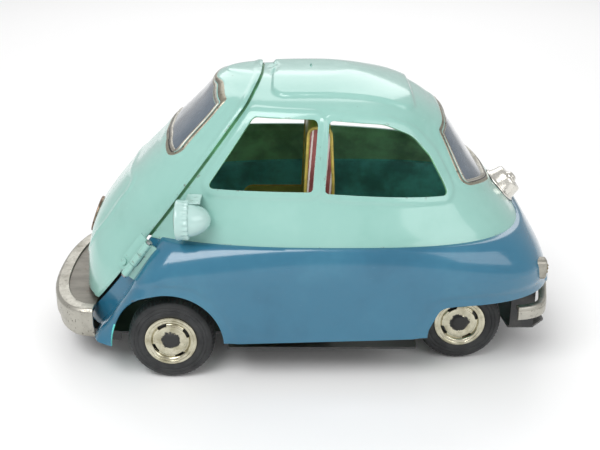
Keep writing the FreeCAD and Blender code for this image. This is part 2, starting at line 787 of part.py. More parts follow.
def motor():
    """Axle gear, idler and flywheel shafts between the plates of an open frame."""
    axle_spot, idler, fly = gear_spots()
    teeth, leaves = int(val("gear_teeth")), int(val("pinion_teeth"))
    to_idler = math.pi - math.radians(val("idler_angle"))
    to_fly = math.pi - math.radians(val("flywheel_angle"))
    first_y, second_y = 0.0, val("gear_width") + 0.6
    shaft = val("shaft_radius")
    pinion_turn = to_idler + math.pi + math.pi / leaves
    gear_node("axle_gear", teeth, axle_spot, first_y, val("axle_radius"), to_idler)
    gear_node("idler_pinion", leaves, idler, first_y, shaft, pinion_turn)
    gear_node("idler_gear", teeth, idler, second_y, shaft, to_fly)
    gear_node("flywheel_pinion", leaves, fly, second_y, shaft, to_fly + math.pi + math.pi / leaves)
    half = dim("motor_half")
    for node, spot, low, high in (("idler_shaft", idler, -half - 0.8, half + 0.8),
                                  ("flywheel_shaft", fly, -half - 0.8, half + 6.5)):
        keep(cylinder(node, dim("shaft_radius"), high - low, (spot[0], low, spot[1]), (0, 1, 0)), node)
    disc = [(dim("shaft_radius"), 0.0), (dim("flywheel_radius") - 0.4, 0.0),
            (dim("flywheel_radius"), 0.4), (dim("flywheel_radius"), dim("flywheel_width") - 0.4),
            (dim("flywheel_radius") - 0.4, dim("flywheel_width")), (dim("shaft_radius"), dim("flywheel_width"))]
    turned("flywheel", disc, (fly[0], half + 1.3, fly[1]), (0, 1, 0))
    motor_frame(axle_spot, idler, fly)


def motor_frame(axle_spot, idler, fly):
    """Two plates, a bridge between them and three lugs down to the pan."""
    front, back = dim("motor_front"), dim("motor_back")
    foot, top, half = dim("plate_top"), dim("motor_height"), dim("motor_half")
    body = new_body("motor_frame")
    side = [(front, foot), (back, foot), (back, 19.0), (front + 16.0, top), (front, top)]
    add_pad(body, "XZ_Plane", side, half * 2, midplane=True)
    room = [(front - 2.0, foot - 2.0), (back + 2.0, foot - 2.0), (back + 2.0, 40.0),
            (front + 3.4, 40.0), (front + 3.4, top - 0.8), (front - 2.0, top - 0.8)]
    add_pad(body, "XZ_Plane", room, half * 2 - 2.0, midplane=True, kind="Pocket")
    gap = dim("running_gap")
    bores = ((axle_spot, dim("axle_radius")), (idler, dim("shaft_radius")), (fly, dim("shaft_radius")))
    item = body
    for spot, radius in bores:
        item = bored(item, (spot[0], -30.0, spot[1]), radius + gap, 60.0)
    return item


# ---------------------------------------------------------------- seat and trim

def seat_bench():
    """One pressed bench: cushion, leaning back and a skirt down to the pan."""
    body = new_body("seat_bench")
    front, rise, top = dim("seat_front"), dim("seat_height"), dim("seat_top")
    foot, wall = dim("plate_top"), SKIN
    rear = 9.2
    outer = [(front, foot), (front, rise - 2.0), (front + 2.0, rise - 0.2), (-4.0, rise), (-0.8, rise + 1.5),
             (1.2, top - 4.0), (2.4, top - 0.8), (4.2, top), (7.6, top - 1.0), (8.5, top - 5.0),
             (rear, rise), (rear, foot)]
    inner = [(front + wall, foot - 2.0), (front + wall, rise - 2.4), (front + 2.2, rise - 0.9 - wall / 2),
             (-3.8, rise - wall), (-0.1, rise + 1.0), (1.9, top - 4.2), (2.9, top - 1.4), (4.3, top - wall),
             (7.1, top - 1.6), (7.8, top - 5.2), (rear - wall, rise), (rear - wall, foot - 2.0)]
    add_pad(body, "XZ_Plane", outer, dim("seat_half") * 2, midplane=True)
    add_pad(body, "XZ_Plane", inner, dim("seat_half") * 2 - 2 * wall, midplane=True, kind="Pocket")
    return body


def band(outer, inner, low, high):
    """A strip between two plan curves, raised from one height to another."""
    edges = []
    for points in (outer, inner):
        curve = Part.BSplineCurve()
        curve.interpolate(points)
        edges.append(curve.toShape())
    ends = [Part.LineSegment(outer[-1], inner[-1]).toShape(), Part.LineSegment(inner[0], outer[0]).toShape()]
    face = Part.Face(Part.Wire([edges[0], ends[0], edges[1], ends[1]]))
    face.translate(Vector(0, 0, low))
    return face.extrude(Vector(0, 0, high - low))


def bumper_plan(back, half, depth, inset):
    """A half-egg plan curve round the nose, from the right end to the left."""
    power, steps = 2.3, 16
    points = []
    for index in range(steps + 1):
        angle = math.pi / 2 - math.pi * index / steps
        along = abs(math.cos(angle)) ** (2 / power)
        across = math.copysign(abs(math.sin(angle)) ** (2 / power), math.sin(angle))
        points.append(Vector(back - (depth - inset) * along, (half - inset) * across, 0))
    return points


def front_bumper():
    """A flat top flange, a tall face and a lower face set back by a small step."""
    top, tall, wall = val("bumper_top"), val("bumper_height"), val("bumper_wall")
    step_height, step = top - tall * 0.62, 0.7

    def plan(inset):
        return bumper_plan(val("bumper_back"), val("bumper_half"), val("bumper_depth"), inset)

    shape = band(plan(0), plan(wall), top - SKIN, top)
    shape = shape.fuse(band(plan(0), plan(SKIN), step_height, top))
    shape = shape.fuse(band(plan(0), plan(step + SKIN), step_height, step_height + SKIN))
    shape = shape.fuse(band(plan(step), plan(step + SKIN), top - tall, step_height + SKIN))
    return skin_node("front_bumper", shape)


REAR_BUMPER_HALF = ((66.5, 38.0), (70.2, 37.2), (73.6, 35.4), (75.6, 33.1), (76.8, 30.0), (77.7, 26.0),
                    (79.0, 20.0), (80.6, 13.0), (82.0, 6.0), (82.5, 0.0))


def rear_bumper_plan(inset):
    """A bar bowed across the tail, bent forward round two corners."""
    half = [Vector(x, y, 0) for x, y in REAR_BUMPER_HALF]
    across = half + [Vector(point.x, -point.y, 0) for point in reversed(half[:-1])]
    plan = []
    for index, point in enumerate(across):
        along = across[min(index + 1, len(across) - 1)] - across[max(index - 1, 0)]
        outward = Vector(-along.y, along.x, 0).normalize()
        plan.append(point - outward * inset)
    return plan


def rear_bumper():
    """A rounded bar, bent round both rear corners and hung from the pan."""
    low, high, wall = 18.6, 23.0, 2.6
    bar = band(rear_bumper_plan(0.0), rear_bumper_plan(wall), low, high)
    strap = slab(75.0, 80.4, -9.0, 9.0, low, low + 0.8)
    leg = slab(75.0, 75.8, -9.0, 9.0, val("plate_top"), low + 0.8)
    return skin_node("rear_bumper", bar.fuse(strap).fuse(leg))


def front_apron_plate():
    """The bare tin deck between the bumper and the foot of the door."""
    top = val("bumper_top") - SKIN - HAIR
    plan = bumper_plan(val("bumper_back"), val("bumper_half"), val("bumper_depth"), 1.6)
    edges = [Part.BSplineCurve()]
    edges[0].interpolate(plan)
    edges.append(Part.LineSegment(plan[-1], plan[0]))
    face = Part.Face(Part.Wire([edge.toShape() for edge in edges]))
    face.translate(Vector(0, 0, top - SKIN))
    tongue = slab(-70.0, -70.0 + SKIN, -12.0, 12.0, val("plate_top"), top - SKIN / 2)
    return skin_node("front_apron_plate", face.extrude(Vector(0, 0, SKIN)).fuse(tongue))


def trimmed(body):
    """Cuts a lamp to the curve of the cabin side it stands against."""
    cabin = doc.addObject("Part::Feature", f"{body.Label}_seat")
    cabin.Shape = egg(HAIR * 2)
    cut = doc.addObject("Part::Cut", f"{body.Name}_trimmed")
    cut.Base = body
    cut.Tool = cabin
    label = body.Label
    NODES.remove(body)
    body.Label = f"{label}_blank"
    return keep(cut, label)


def headlamp(side):
    """A teardrop pod on the cabin side, with a crimped ring and a lens that face forward."""
    name = "left" if side < 0 else "right"
    spot = (dim("headlamp_x"), dim("headlamp_y") * side, dim("headlamp_z"))
    pod, ring = dim("headlamp_pod"), dim("headlamp_ring")
    shell = [(0.0, 7.6), (0.0, 8.8), (1.6, 8.5), (3.0, 7.4), (4.1, 5.4), (4.8, 3.0), (pod, 0.6),
             (pod, 0.0), (pod - 0.8, 0.0), (pod - 0.8, 0.6), (4.0, 3.0), (3.3, 5.0), (2.2, 6.8), (1.2, 7.6)]
    bezel = [(pod - 0.6, -1.5), (ring - 0.4, -1.5), (ring, -1.1), (ring, 0.9), (ring - 0.5, 1.3),
             (pod + HAIR, 1.3), (pod + HAIR, -HAIR), (pod - 0.6, -HAIR)]
    lens = [(0.0, -2.3), (2.4, -2.0), (4.0, -1.4), (pod - 0.7, -0.9), (pod - 0.7, -0.1), (0.0, -0.1)]
    trimmed(turned(f"headlamp_pod_{name}", shell, spot, (1, 0, 0)))
    trimmed(turned(f"headlamp_bezel_{name}", bezel, spot, (1, 0, 0)))
    turned(f"headlamp_lens_{name}", lens, spot, (1, 0, 0))
    tab_y = val("headlamp_y") - 5.0
    tab_z = val("headlamp_z") + val("headlamp_pod") + HAIR
    tab = slab(-34.6, -30.2, tab_y - 1.6, tab_y + 5.4, tab_z, tab_z + 0.5)
    if side < 0:
        tab = tab.mirror(Vector(0, 0, 0), Vector(0, 1, 0))
    skin_node(f"headlamp_tab_{name}", tab.cut(egg(0.1)))


def rear_lamp():
    """A crimped, plated dome in the middle of the tail, over the belt line."""
    normal = (0.757, 0, 0.653)
    spot = (65.1, 0.0, 49.0)
    dome = [(0.0, 0.4), (6.6, 0.4), (6.6, 1.3), (6.1, 1.8), (5.8, 3.0), (5.0, 4.0), (3.2, 4.7), (0.0, 4.9)]
    boss = [(0.0, 4.95), (1.9, 4.95), (1.9, 5.6), (1.2, 6.1), (0.0, 6.2)]
    turned("rear_lamp_dome", dome, spot, normal)
    turned("rear_lamp_boss", boss, spot, normal)


def tail_lamp(side):
    """An upright, ribbed pill with a rounded lens on the back of each fender."""
    name = "left" if side < 0 else "right"
    y, z, x = 30.0 * side, 33.0, val("tail_lamp_x")
    lamp_seat = fender_block(HAIR)
    for node, half_width, half_height, start, depth in ((f"tail_lamp_rim_{name}", 2.3, 3.3, x, 6.4),
                                                        (f"tail_lamp_lens_{name}", 1.8, 2.8, x + 6.42, 0.9)):
        corners = [Vector(start, y - half_width, z - half_height), Vector(start, y + half_width, z - half_height),
                   Vector(start, y + half_width, z + half_height), Vector(start, y - half_width, z + half_height)]
        face = rounded_face(corners, [half_width * 0.96] * 4)
        lamp = face.extrude(Vector(depth, 0, 0))
        skin_node(node, lamp.cut(lamp_seat) if "rim" in node else lamp)


def door_badge():
    """A plain round medallion low on the nose, with no mark on it."""
    lean_back = (-0.94, 0, 0.34)
    disc = [(0.0, 0.1), (5.9, 0.1), (6.2, 0.4), (6.2, 0.9), (5.4, 1.3), (4.9, 0.9), (0.0, 1.1)]
    return turned("door_badge", disc, (-68.9, 0.0, 39.2), lean_back)


def running_gear():
    wheels = (("front", dim("front_axle_x"), dim("front_track")), ("rear", dim("rear_axle_x"), dim("rear_track")))
    for name, x, track in wheels:
        axle(f"{name}_axle", x, track)
        for side, hand in ((-1, "left"), (1, "right")):
            wheel(f"{name}_{hand}", x, track, side)
    bored(front_axle_bracket(), (dim("front_axle_x"), -60.0, dim("tyre_radius")),
          dim("axle_radius") + dim("running_gap"))


def check_and_export():
    doc.recompute()
    for item in doc.Objects:
        if "Invalid" in item.State or "Error" in item.State:
            raise RuntimeError(f"{item.Label} failed: {item.State}")
    os.makedirs("parts", exist_ok=True)
    for item in NODES:
        shape = item.Shape
        if shape.isNull() or not shape.isValid() or not shape.Solids:
            raise RuntimeError(f"{item.Label} has no valid solid")
        shape.exportStep(f"parts/{item.Label}.step")
        print(f"{item.Label:24s} {shape.Volume:10.1f} mm3, {len(shape.Solids)} solid(s)")


def build():
    upper_body_shell()
    lower_body_shell()
    door_panel()
    front_gap = beyond_door_plane(-val("door_gap") / 2, False)
    screen("windscreen_pane", "windscreen_frame", WINDSCREEN, val("door_proud"), -120, 120, front_gap)
    front_half = slab(-140, 0, -80, 80, 0, 120)
    screen("rear_window_pane", "rear_window_frame", REAR_SCREEN, 0.0, 20, 80, front_half)
    hinge_parts()
    base_plate()
    running_gear()
    motor()
    seat_bench()
    front_bumper()
    rear_bumper()
    front_apron_plate()
    for side in (-1, 1):
        headlamp(side)
        tail_lamp(side)
    rear_lamp()
    door_badge()
    check_and_export()


build()
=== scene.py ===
import math

import bmesh
import bpy
import numpy as np
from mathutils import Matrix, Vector


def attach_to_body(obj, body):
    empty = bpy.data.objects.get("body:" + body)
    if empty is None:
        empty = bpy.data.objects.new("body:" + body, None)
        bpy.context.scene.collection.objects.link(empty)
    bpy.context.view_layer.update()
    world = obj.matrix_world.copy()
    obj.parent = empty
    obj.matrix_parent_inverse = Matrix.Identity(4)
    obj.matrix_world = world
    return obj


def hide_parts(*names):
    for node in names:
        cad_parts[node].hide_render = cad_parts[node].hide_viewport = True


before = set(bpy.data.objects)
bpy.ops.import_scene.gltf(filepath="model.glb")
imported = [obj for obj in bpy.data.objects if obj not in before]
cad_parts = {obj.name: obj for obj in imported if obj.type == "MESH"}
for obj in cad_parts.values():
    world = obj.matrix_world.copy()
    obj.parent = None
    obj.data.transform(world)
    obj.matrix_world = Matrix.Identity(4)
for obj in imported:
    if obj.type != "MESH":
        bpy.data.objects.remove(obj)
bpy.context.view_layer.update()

# The friction tin car in its finished looks. Sizes are in millimetres in the frame of the
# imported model: +X to the tail, -Y the left side, +Z up. MM turns them into metres.
MM = 0.001

SKIN = 0.7
HAIR = 0.05
BELT = 44.0
DOOR_SLOPE, DOOR_START, DOOR_GAP = 0.7655, -80.84, 1.3
DOOR_PROUD, DOOR_FOOT = 0.8, 22.0
FENDER_HALF, FENDER_SHOULDER, FENDER_CROWN = 43.8, 34.0, 10.5
FENDER_FRONT, FENDER_SLOPE, FENDER_CORNER = -73.04, 0.69, 7.0
FENDER_TAIL, FENDER_TAIL_HIGH, SKIRT_LINE = 79.4, 76.2, 26.0
TAIL_POWERS = (3.7, 4.5)   # how square the tail is in plan, at the skirt line and at the shoulder
ARCH_X, ARCH_Z, ARCH_RADIUS = -41.3, 13.0, 17.2
REAR_ARCH_FRONT = 38.0
MIDDLE_LOW, MIDDLE_HIGH = 10.0, 3.0

# Horizontal sections of the cabin: height, nose x, tail x, half width, front and rear power.
LEVELS = np.array((
    (9.0, -72.6, 83.0, 41.0, 3.7, 3.2),
    (22.0, -70.3, 79.5, 41.3, 3.5, 3.2),
    (34.0, -69.3, 75.0, 41.4, 3.1, 3.1),
    (44.0, -65.8, 69.3, 41.2, 2.42, 3.1),
    (52.0, -59.7, 62.4, 38.0, 2.8, 2.95),
    (60.0, -52.4, 55.2, 35.0, 3.1, 2.9),
    (70.0, -41.8, 48.4, 32.8, 3.2, 2.8),
    (78.0, -33.2, 42.4, 30.6, 2.95, 2.7),
    (83.0, -28.9, 34.4, 27.8, 2.75, 2.6),
    (85.4, -27.0, 28.0, 22.0, 2.55, 2.5),
    (87.1, -25.6, 22.0, 16.4, 2.4, 2.4),
    (88.1, -23.6, 17.4, 12.4, 2.3, 2.3),
    (88.6, -19.6, 13.0, 8.5, 2.2, 2.2),
    (88.8, 3.0, 3.1, 0.05, 2.1, 2.1),
))
HEIGHT, NOSE, TAIL, HALF, FRONT_POWER, REAR_POWER = range(6)
BELT_ROW = 3

FRONT_WINDOW = ((-28.9, 60.4), (2.9, 60.0), (4.5, 80.8), (-14.6, 81.2))
FRONT_WINDOW_RADII = (1.0, 1.2, 1.6, 2.2)
REAR_WINDOW = ((6.5, 59.6), (43.9, 57.4), (42.4, 61.0), (38.2, 68.8), (32.5, 75.2), (24.0, 79.0), (7.7, 80.6))
REAR_WINDOW_RADII = (1.0, 1.0, 8.0, 10.0, 12.0, 12.0, 1.4)
WINDSCREEN = ((14.0, 70.3), (24.2, 67.4), (19.8, 82.4), (9.0, 85.3),
              (-9.0, 85.3), (-19.8, 82.4), (-24.2, 67.4), (-14.0, 70.3))
REAR_SCREEN = ((10.0, 56.0), (24.5, 59.0), (19.2, 73.6), (8.0, 76.3),
               (-8.0, 76.3), (-19.2, 73.6), (-24.5, 59.0), (-10.0, 56.0))
SCREEN_RADII = (12.0, 1.2, 1.2, 12.0, 12.0, 1.2, 1.2, 12.0)
ROOF_PANEL = ((-9.6, -22.0), (34.0, -22.0), (34.0, 22.0), (-9.6, 22.0))
SHIELD = ((-15.5, 30.0), (15.5, 30.0), (20.5, 58.5), (-20.5, 58.5))

# How far the pressed details stand up from the skin.
ROOF_PANEL_RISE, WINDOW_RIM_RISE, REAR_RIM_RISE, SEAM_RISE = 0.9, 0.5, 0.35, 0.3
DOOR_BEAD_RISE, SCREEN_RIM_RISE, SHIELD_RISE, ARCH_FLARE = 0.35, 0.3, 0.35, 0.45

DOOR_PLANE_SHARE = 0.794              # turns a distance along x into one square to the door plane
HINGE_MIDDLE = (-50.3, -36.8, 39.1)
NOTCH_REACH = (3.4, 2.0, 6.0, 6.95)   # ahead, behind, through the skin and half along the hinge
LIP_AHEAD, LIP_BEHIND = 0.9, 2.6

FINE, FINE_COLUMNS = 0.75, 512        # row spacing and columns of the cabin's grid

CAR, DOOR = "car_body", "front_door"
SIDE_VIEW, FACE_VIEW, PLAN_VIEW = [0, 2], [1, 2], [0, 1]


def attach(piece, body, node):
    """Puts a piece on its body in place of a CAD node, which it hides."""
    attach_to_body(piece, body)
    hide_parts(node)


# ------------------------ outlines and fields

def rounded_outline(corners, radii, steps=8):
    """Points round a polygon whose corners are arcs."""
    corners = [np.array(corner, float) for corner in corners]
    count = len(corners)
    points = []
    for i, corner in enumerate(corners):
        back = corners[i - 1] - corner
        ahead = corners[(i + 1) % count] - corner
        back /= np.linalg.norm(back)
        ahead /= np.linalg.norm(ahead)
        half = math.acos(np.clip(back @ ahead, -1, 1)) / 2
        reach = radii[i] / math.tan(half)
        middle = (back + ahead) / np.linalg.norm(back + ahead)
        centre = corner + middle * radii[i] / math.sin(half)
        start, end = corner + back * reach, corner + ahead * reach
        first = math.atan2(*(start - centre)[::-1])
        last = math.atan2(*(end - centre)[::-1])
        sweep = (last - first + math.pi) % (2 * math.pi) - math.pi
        for step in range(steps + 1):
            angle = first + sweep * step / steps
            points.append(centre + radii[i] * np.array((math.cos(angle), math.sin(angle))))
    return np.array(points)


def outline_distance(points, outline):
    """Signed distance from 2D points to a closed outline, negative inside."""
    near = np.full(len(points), np.inf)
    inside = np.zeros(len(points), bool)
    for start, end in zip(outline, np.roll(outline, -1, axis=0)):
        edge = end - start
        length = max(edge @ edge, 1e-12)
        share = np.clip(((points - start) @ edge) / length, 0, 1)
        gap = points - start - share[:, None] * edge
        near = np.minimum(near, (gap * gap).sum(1))
        if abs(edge[1]) > 1e-9:
            crosses = (start[1] > points[:, 1]) != (end[1] > points[:, 1])
            hit = start[0] + (points[:, 1] - start[1]) / edge[1] * edge[0]
            inside ^= crosses & (points[:, 0] < hit)
    return np.where(inside, -1, 1) * np.sqrt(near)


def fall_off(value, low, high):
    """1 up to low, 0 beyond high, and a smooth fall between them."""
    share = np.clip((value - low) / (high - low), 0, 1)
    return 1 - share * share * (3 - 2 * share)


def bump(value, centre, width):
    """A rounded ridge, 1 at the centre and 0 beyond its width."""
    share = np.clip(1 - ((value - centre) / width) ** 2, 0, 1)
    return share * share


def super_stretch(along, across, power):
    """What carries a point of the unit circle out onto a superellipse."""
    return (np.abs(along) ** power + np.abs(across) ** power) ** (-1 / power)


def door_plane(points):
    """Distance behind the plane that parts the door from the body, along x."""
    return points[:, 0] - (DOOR_SLOPE * points[:, 2] + DOOR_START)


# ------------------------ the egg surface

def spline_table(table, samples):
    """Natural cubic spline through the rows of a table, read at fractional row numbers."""
    rows = len(table)
    system = np.zeros((rows, rows))
    right = np.zeros_like(table)
    system[0, 0] = system[-1, -1] = 1
    for row in range(1, rows - 1):
        system[row, row - 1:row + 2] = (1, 4, 1)
        right[row] = 6 * (table[row - 1] - 2 * table[row] + table[row + 1])
    curve = np.linalg.solve(system, right)
    low = np.clip(samples.astype(int), 0, rows - 2)
    share = (samples - low)[:, None]
    rest = 1 - share
    straight = rest * table[low] + share * table[low + 1]
    bend = (rest ** 3 - rest) * curve[low] + (share ** 3 - share) * curve[low + 1]
    return straight + bend / 6


def level_rows(spacing, low_height):
    """Sections of the cabin, evenly spaced along the curve of its side."""
    dense = spline_table(LEVELS, np.linspace(0, len(LEVELS) - 1, 2001))
    side = dense[:, [HEIGHT, HALF]] + dense[:, [TAIL, TAIL]] * (0, 0.5)
    run = np.concatenate(([0], np.cumsum(np.linalg.norm(np.diff(side, axis=0), axis=1))))
    count = int(run[-1] / spacing)
    even = np.interp(np.linspace(0, run[-1], count), run, np.arange(len(run)))
    rows = np.stack([np.interp(even, np.arange(len(run)), dense[:, k]) for k in range(6)], 1)
    return rows[rows[:, HEIGHT] >= low_height - spacing]


def egg_middle(height):
    """Where along x the nose half and the tail half of a section meet."""
    share = np.clip((height - BELT) / (LEVELS[-2, HEIGHT] - BELT), 0, 1)
    return MIDDLE_LOW + share * (MIDDLE_HIGH - MIDDLE_LOW)


def egg_grid(spacing, columns, low_height, push=0.0):
    """Grid of points and outward normals on the cabin surface, in millimetres."""
    rows = level_rows(spacing, low_height)
    angle = np.arange(columns) * 2 * math.pi / columns
    along, across = np.cos(angle), np.sin(angle)
    centre = egg_middle(rows[:, HEIGHT, None])
    behind = along[None, :] >= 0
    reach = np.where(behind, rows[:, TAIL, None] - centre, centre - rows[:, NOSE, None])
    power = np.where(behind, rows[:, REAR_POWER, None], rows[:, FRONT_POWER, None])
    stretch = super_stretch(along, across, power)
    x = centre + reach * along * stretch
    y = rows[:, HALF, None] * across * stretch
    z = np.repeat(rows[:, HEIGHT, None], columns, 1)
    grid = np.stack([x, y, z], -1)
    normals = grid_normals(grid)
    return grid + normals * push, normals


def grid_normals(grid):
    turn = np.roll(grid, -1, 1) - np.roll(grid, 1, 1)
    climb = np.gradient(grid, axis=0)
    normals = np.cross(turn, climb)
    length = np.linalg.norm(normals, axis=-1, keepdims=True)
    return normals / np.maximum(length, 1e-9)


def grid_faces(rows, columns, wraps=True):
    last = columns if wraps else columns - 1
    faces = []
    for row in range(rows - 1):
        for column in range(last):
            right = (column + 1) % columns
            faces.append((row * columns + column, row * columns + right,
                          (row + 1) * columns + right, (row + 1) * columns + column))
    return faces


def clip(points, faces, field):
    """Keeps the part of a surface where field(points) is positive, with a clean new edge."""
    values = field(points)
    points = [tuple(point) for point in points]
    cuts = {}
    kept = []

    def cut(a, b):
        key = (a, b) if a < b else (b, a)
        if key not in cuts:
            share = values[key[0]] / (values[key[0]] - values[key[1]])
            one, two = points[key[0]], points[key[1]]
            cuts[key] = len(points)
            points.append(tuple(p + (q - p) * share for p, q in zip(one, two)))
        return cuts[key]

    for face in faces:
        inside = [values[index] > 0 for index in face]
        if all(inside):
            kept.append(face)
        elif any(inside):
            loop = []
            for k, index in enumerate(face):
                following = face[(k + 1) % len(face)]
                if values[index] > 0:
                    loop.append(index)
                if (values[index] > 0) != (values[following] > 0):
                    loop.append(cut(index, following))
            if len(loop) > 2:
                kept.append(tuple(loop))
    used = sorted({index for face in kept for index in face})
    rename = {index: new for new, index in enumerate(used)}
    points = np.array([points[index] for index in used])
    return points, [tuple(rename[index] for index in face) for face in kept]


def trimmed(grid, *fields, wraps=True):
    """The faces of a grid, cut to where every field is positive."""
    points, faces = grid.reshape(-1, 3), grid_faces(*grid.shape[:2], wraps)
    for field in fields:
        points, faces = clip(points, faces, field)
    return points, faces


# ------------------------ mesh helpers

def add(name, data):
    obj = bpy.data.objects.new(name, data)
    bpy.context.scene.collection.objects.link(obj)
    return obj


def mesh_object(name, points, faces, material):
    mesh = bpy.data.meshes.new(name)
    mesh.from_pydata([tuple(point * MM) for point in np.asarray(points, float)], [], faces)
    mesh.validate()
    mesh.materials.append(material)
    return add(name, mesh)


def bake(obj, angle):
    """Applies the modifiers, then smooths the mesh except along its real corners."""
    graph = bpy.context.evaluated_depsgraph_get()
    mesh = bpy.data.meshes.new_from_object(obj.evaluated_get(graph))
    obj.modifiers.clear()
    obj.data = mesh
    smooth(obj, angle)
    return obj


def smooth(obj, angle):
    work = bmesh.new()
    work.from_mesh(obj.data)
    limit = math.radians(angle)
    for face in work.faces:
        face.smooth = True
    for edge in work.edges:
        edge.smooth = len(edge.link_faces) == 2 and edge.calc_face_angle(0.0) < limit
    work.to_mesh(obj.data)
    work.free()


def sheet_metal(name, points, faces, material, thickness=SKIN, edge=0.22):
    """A skin given its thickness inwards, with its cut edges rounded over."""
    obj = mesh_object(name, points, faces, material)
    solid = obj.modifiers.new("thickness", "SOLIDIFY")
    solid.thickness = thickness * MM
    solid.offset = -1
    solid.use_even_offset = False
    if edge:
        bevel(obj, edge, 2, 50)
    return bake(obj, 40)


def bevel(obj, width, segments, angle):
    rounding = obj.modifiers.new("edge", "BEVEL")
    rounding.width = width * MM
    rounding.segments = segments
    rounding.limit_method = "ANGLE"
    rounding.angle_limit = math.radians(angle)


def weld(obj):
    """Joins doubled points and turns all faces outwards."""
    work = bmesh.new()
    work.from_mesh(obj.data)
    bmesh.ops.remove_doubles(work, verts=work.verts, dist=0.002 * MM)
    bmesh.ops.recalc_face_normals(work, faces=work.faces)
    work.to_mesh(obj.data)
    work.free()


def loft(name, rows, material, capped=False):
    """A skin through closed rows of points, with flat ends if capped."""
    count = len(rows[0])
    faces = grid_faces(len(rows), count)
    if capped:
        faces += [tuple(range(count))[::-1], tuple((len(rows) - 1) * count + k for k in range(count))]
    return mesh_object(name, np.array(rows).reshape(-1, 3), faces, material)


def lathe(name, profile, centre, axis, material, segments=96, angle=35.0, ribs=0, depth=0.0, fluted=()):
    """A turned piece: profile holds (radius, distance along the axis) in millimetres.

    Each profile row is pressed in, ribs times round the axis, by depth times its share in fluted.
    """
    turn = Vector((0, 0, 1)).rotation_difference(Vector(axis)).to_matrix()
    fluted = fluted or [0.0] * len(profile)
    points = []
    for segment in range(segments):
        spin = 2 * math.pi * segment / segments
        wave = depth * (0.5 + 0.5 * math.cos(ribs * spin))
        for (radius, along), share in zip(profile, fluted):
            reach = radius - wave * share
            spot = turn @ Vector((reach * math.cos(spin), reach * math.sin(spin), along))
            points.append(np.array(centre) + np.array(spot))
    count = len(points)
    faces = [tuple(index % count for index in face)
             for face in grid_faces(segments + 1, len(profile), wraps=False)]
    obj = mesh_object(name, points, faces, material)
    weld(obj)
    smooth(obj, angle)
    return obj


def tube(name, path, radius, material):
    """A round bead along a closed path in millimetres."""
    curve = bpy.data.curves.new(name, "CURVE")
    curve.dimensions = "3D"
    curve.bevel_depth = radius * MM
    curve.bevel_resolution = 5
    line = curve.splines.new("POLY")
    line.points.add(len(path) - 1)
    for point, spot in zip(line.points, path):
        point.co = (*(np.array(spot) * MM), 1)
    line.use_cyclic_u = True
    curve.materials.append(material)
    return add(name, curve)


def rounded_profile(corners, radius, steps=4):
    """Softens the inner corners of an open (radius, along) profile."""
    corners = [np.array(corner, float) for corner in corners]
    points = [corners[0]]
    for back, corner, ahead in zip(corners[:-2], corners[1:-1], corners[2:]):
        start, end = back - corner, ahead - corner
        reach = min(radius, np.linalg.norm(start) * 0.45, np.linalg.norm(end) * 0.45)
        start = corner + start / np.linalg.norm(start) * reach
        end = corner + end / np.linalg.norm(end) * reach
        for step in range(steps + 1):
            share = step / steps
            rest = 1 - share
            points.append(rest ** 2 * start + 2 * share * rest * corner + share ** 2 * end)
    points.append(corners[-1])
    return [tuple(point) for point in points]


# ------------------------ materials

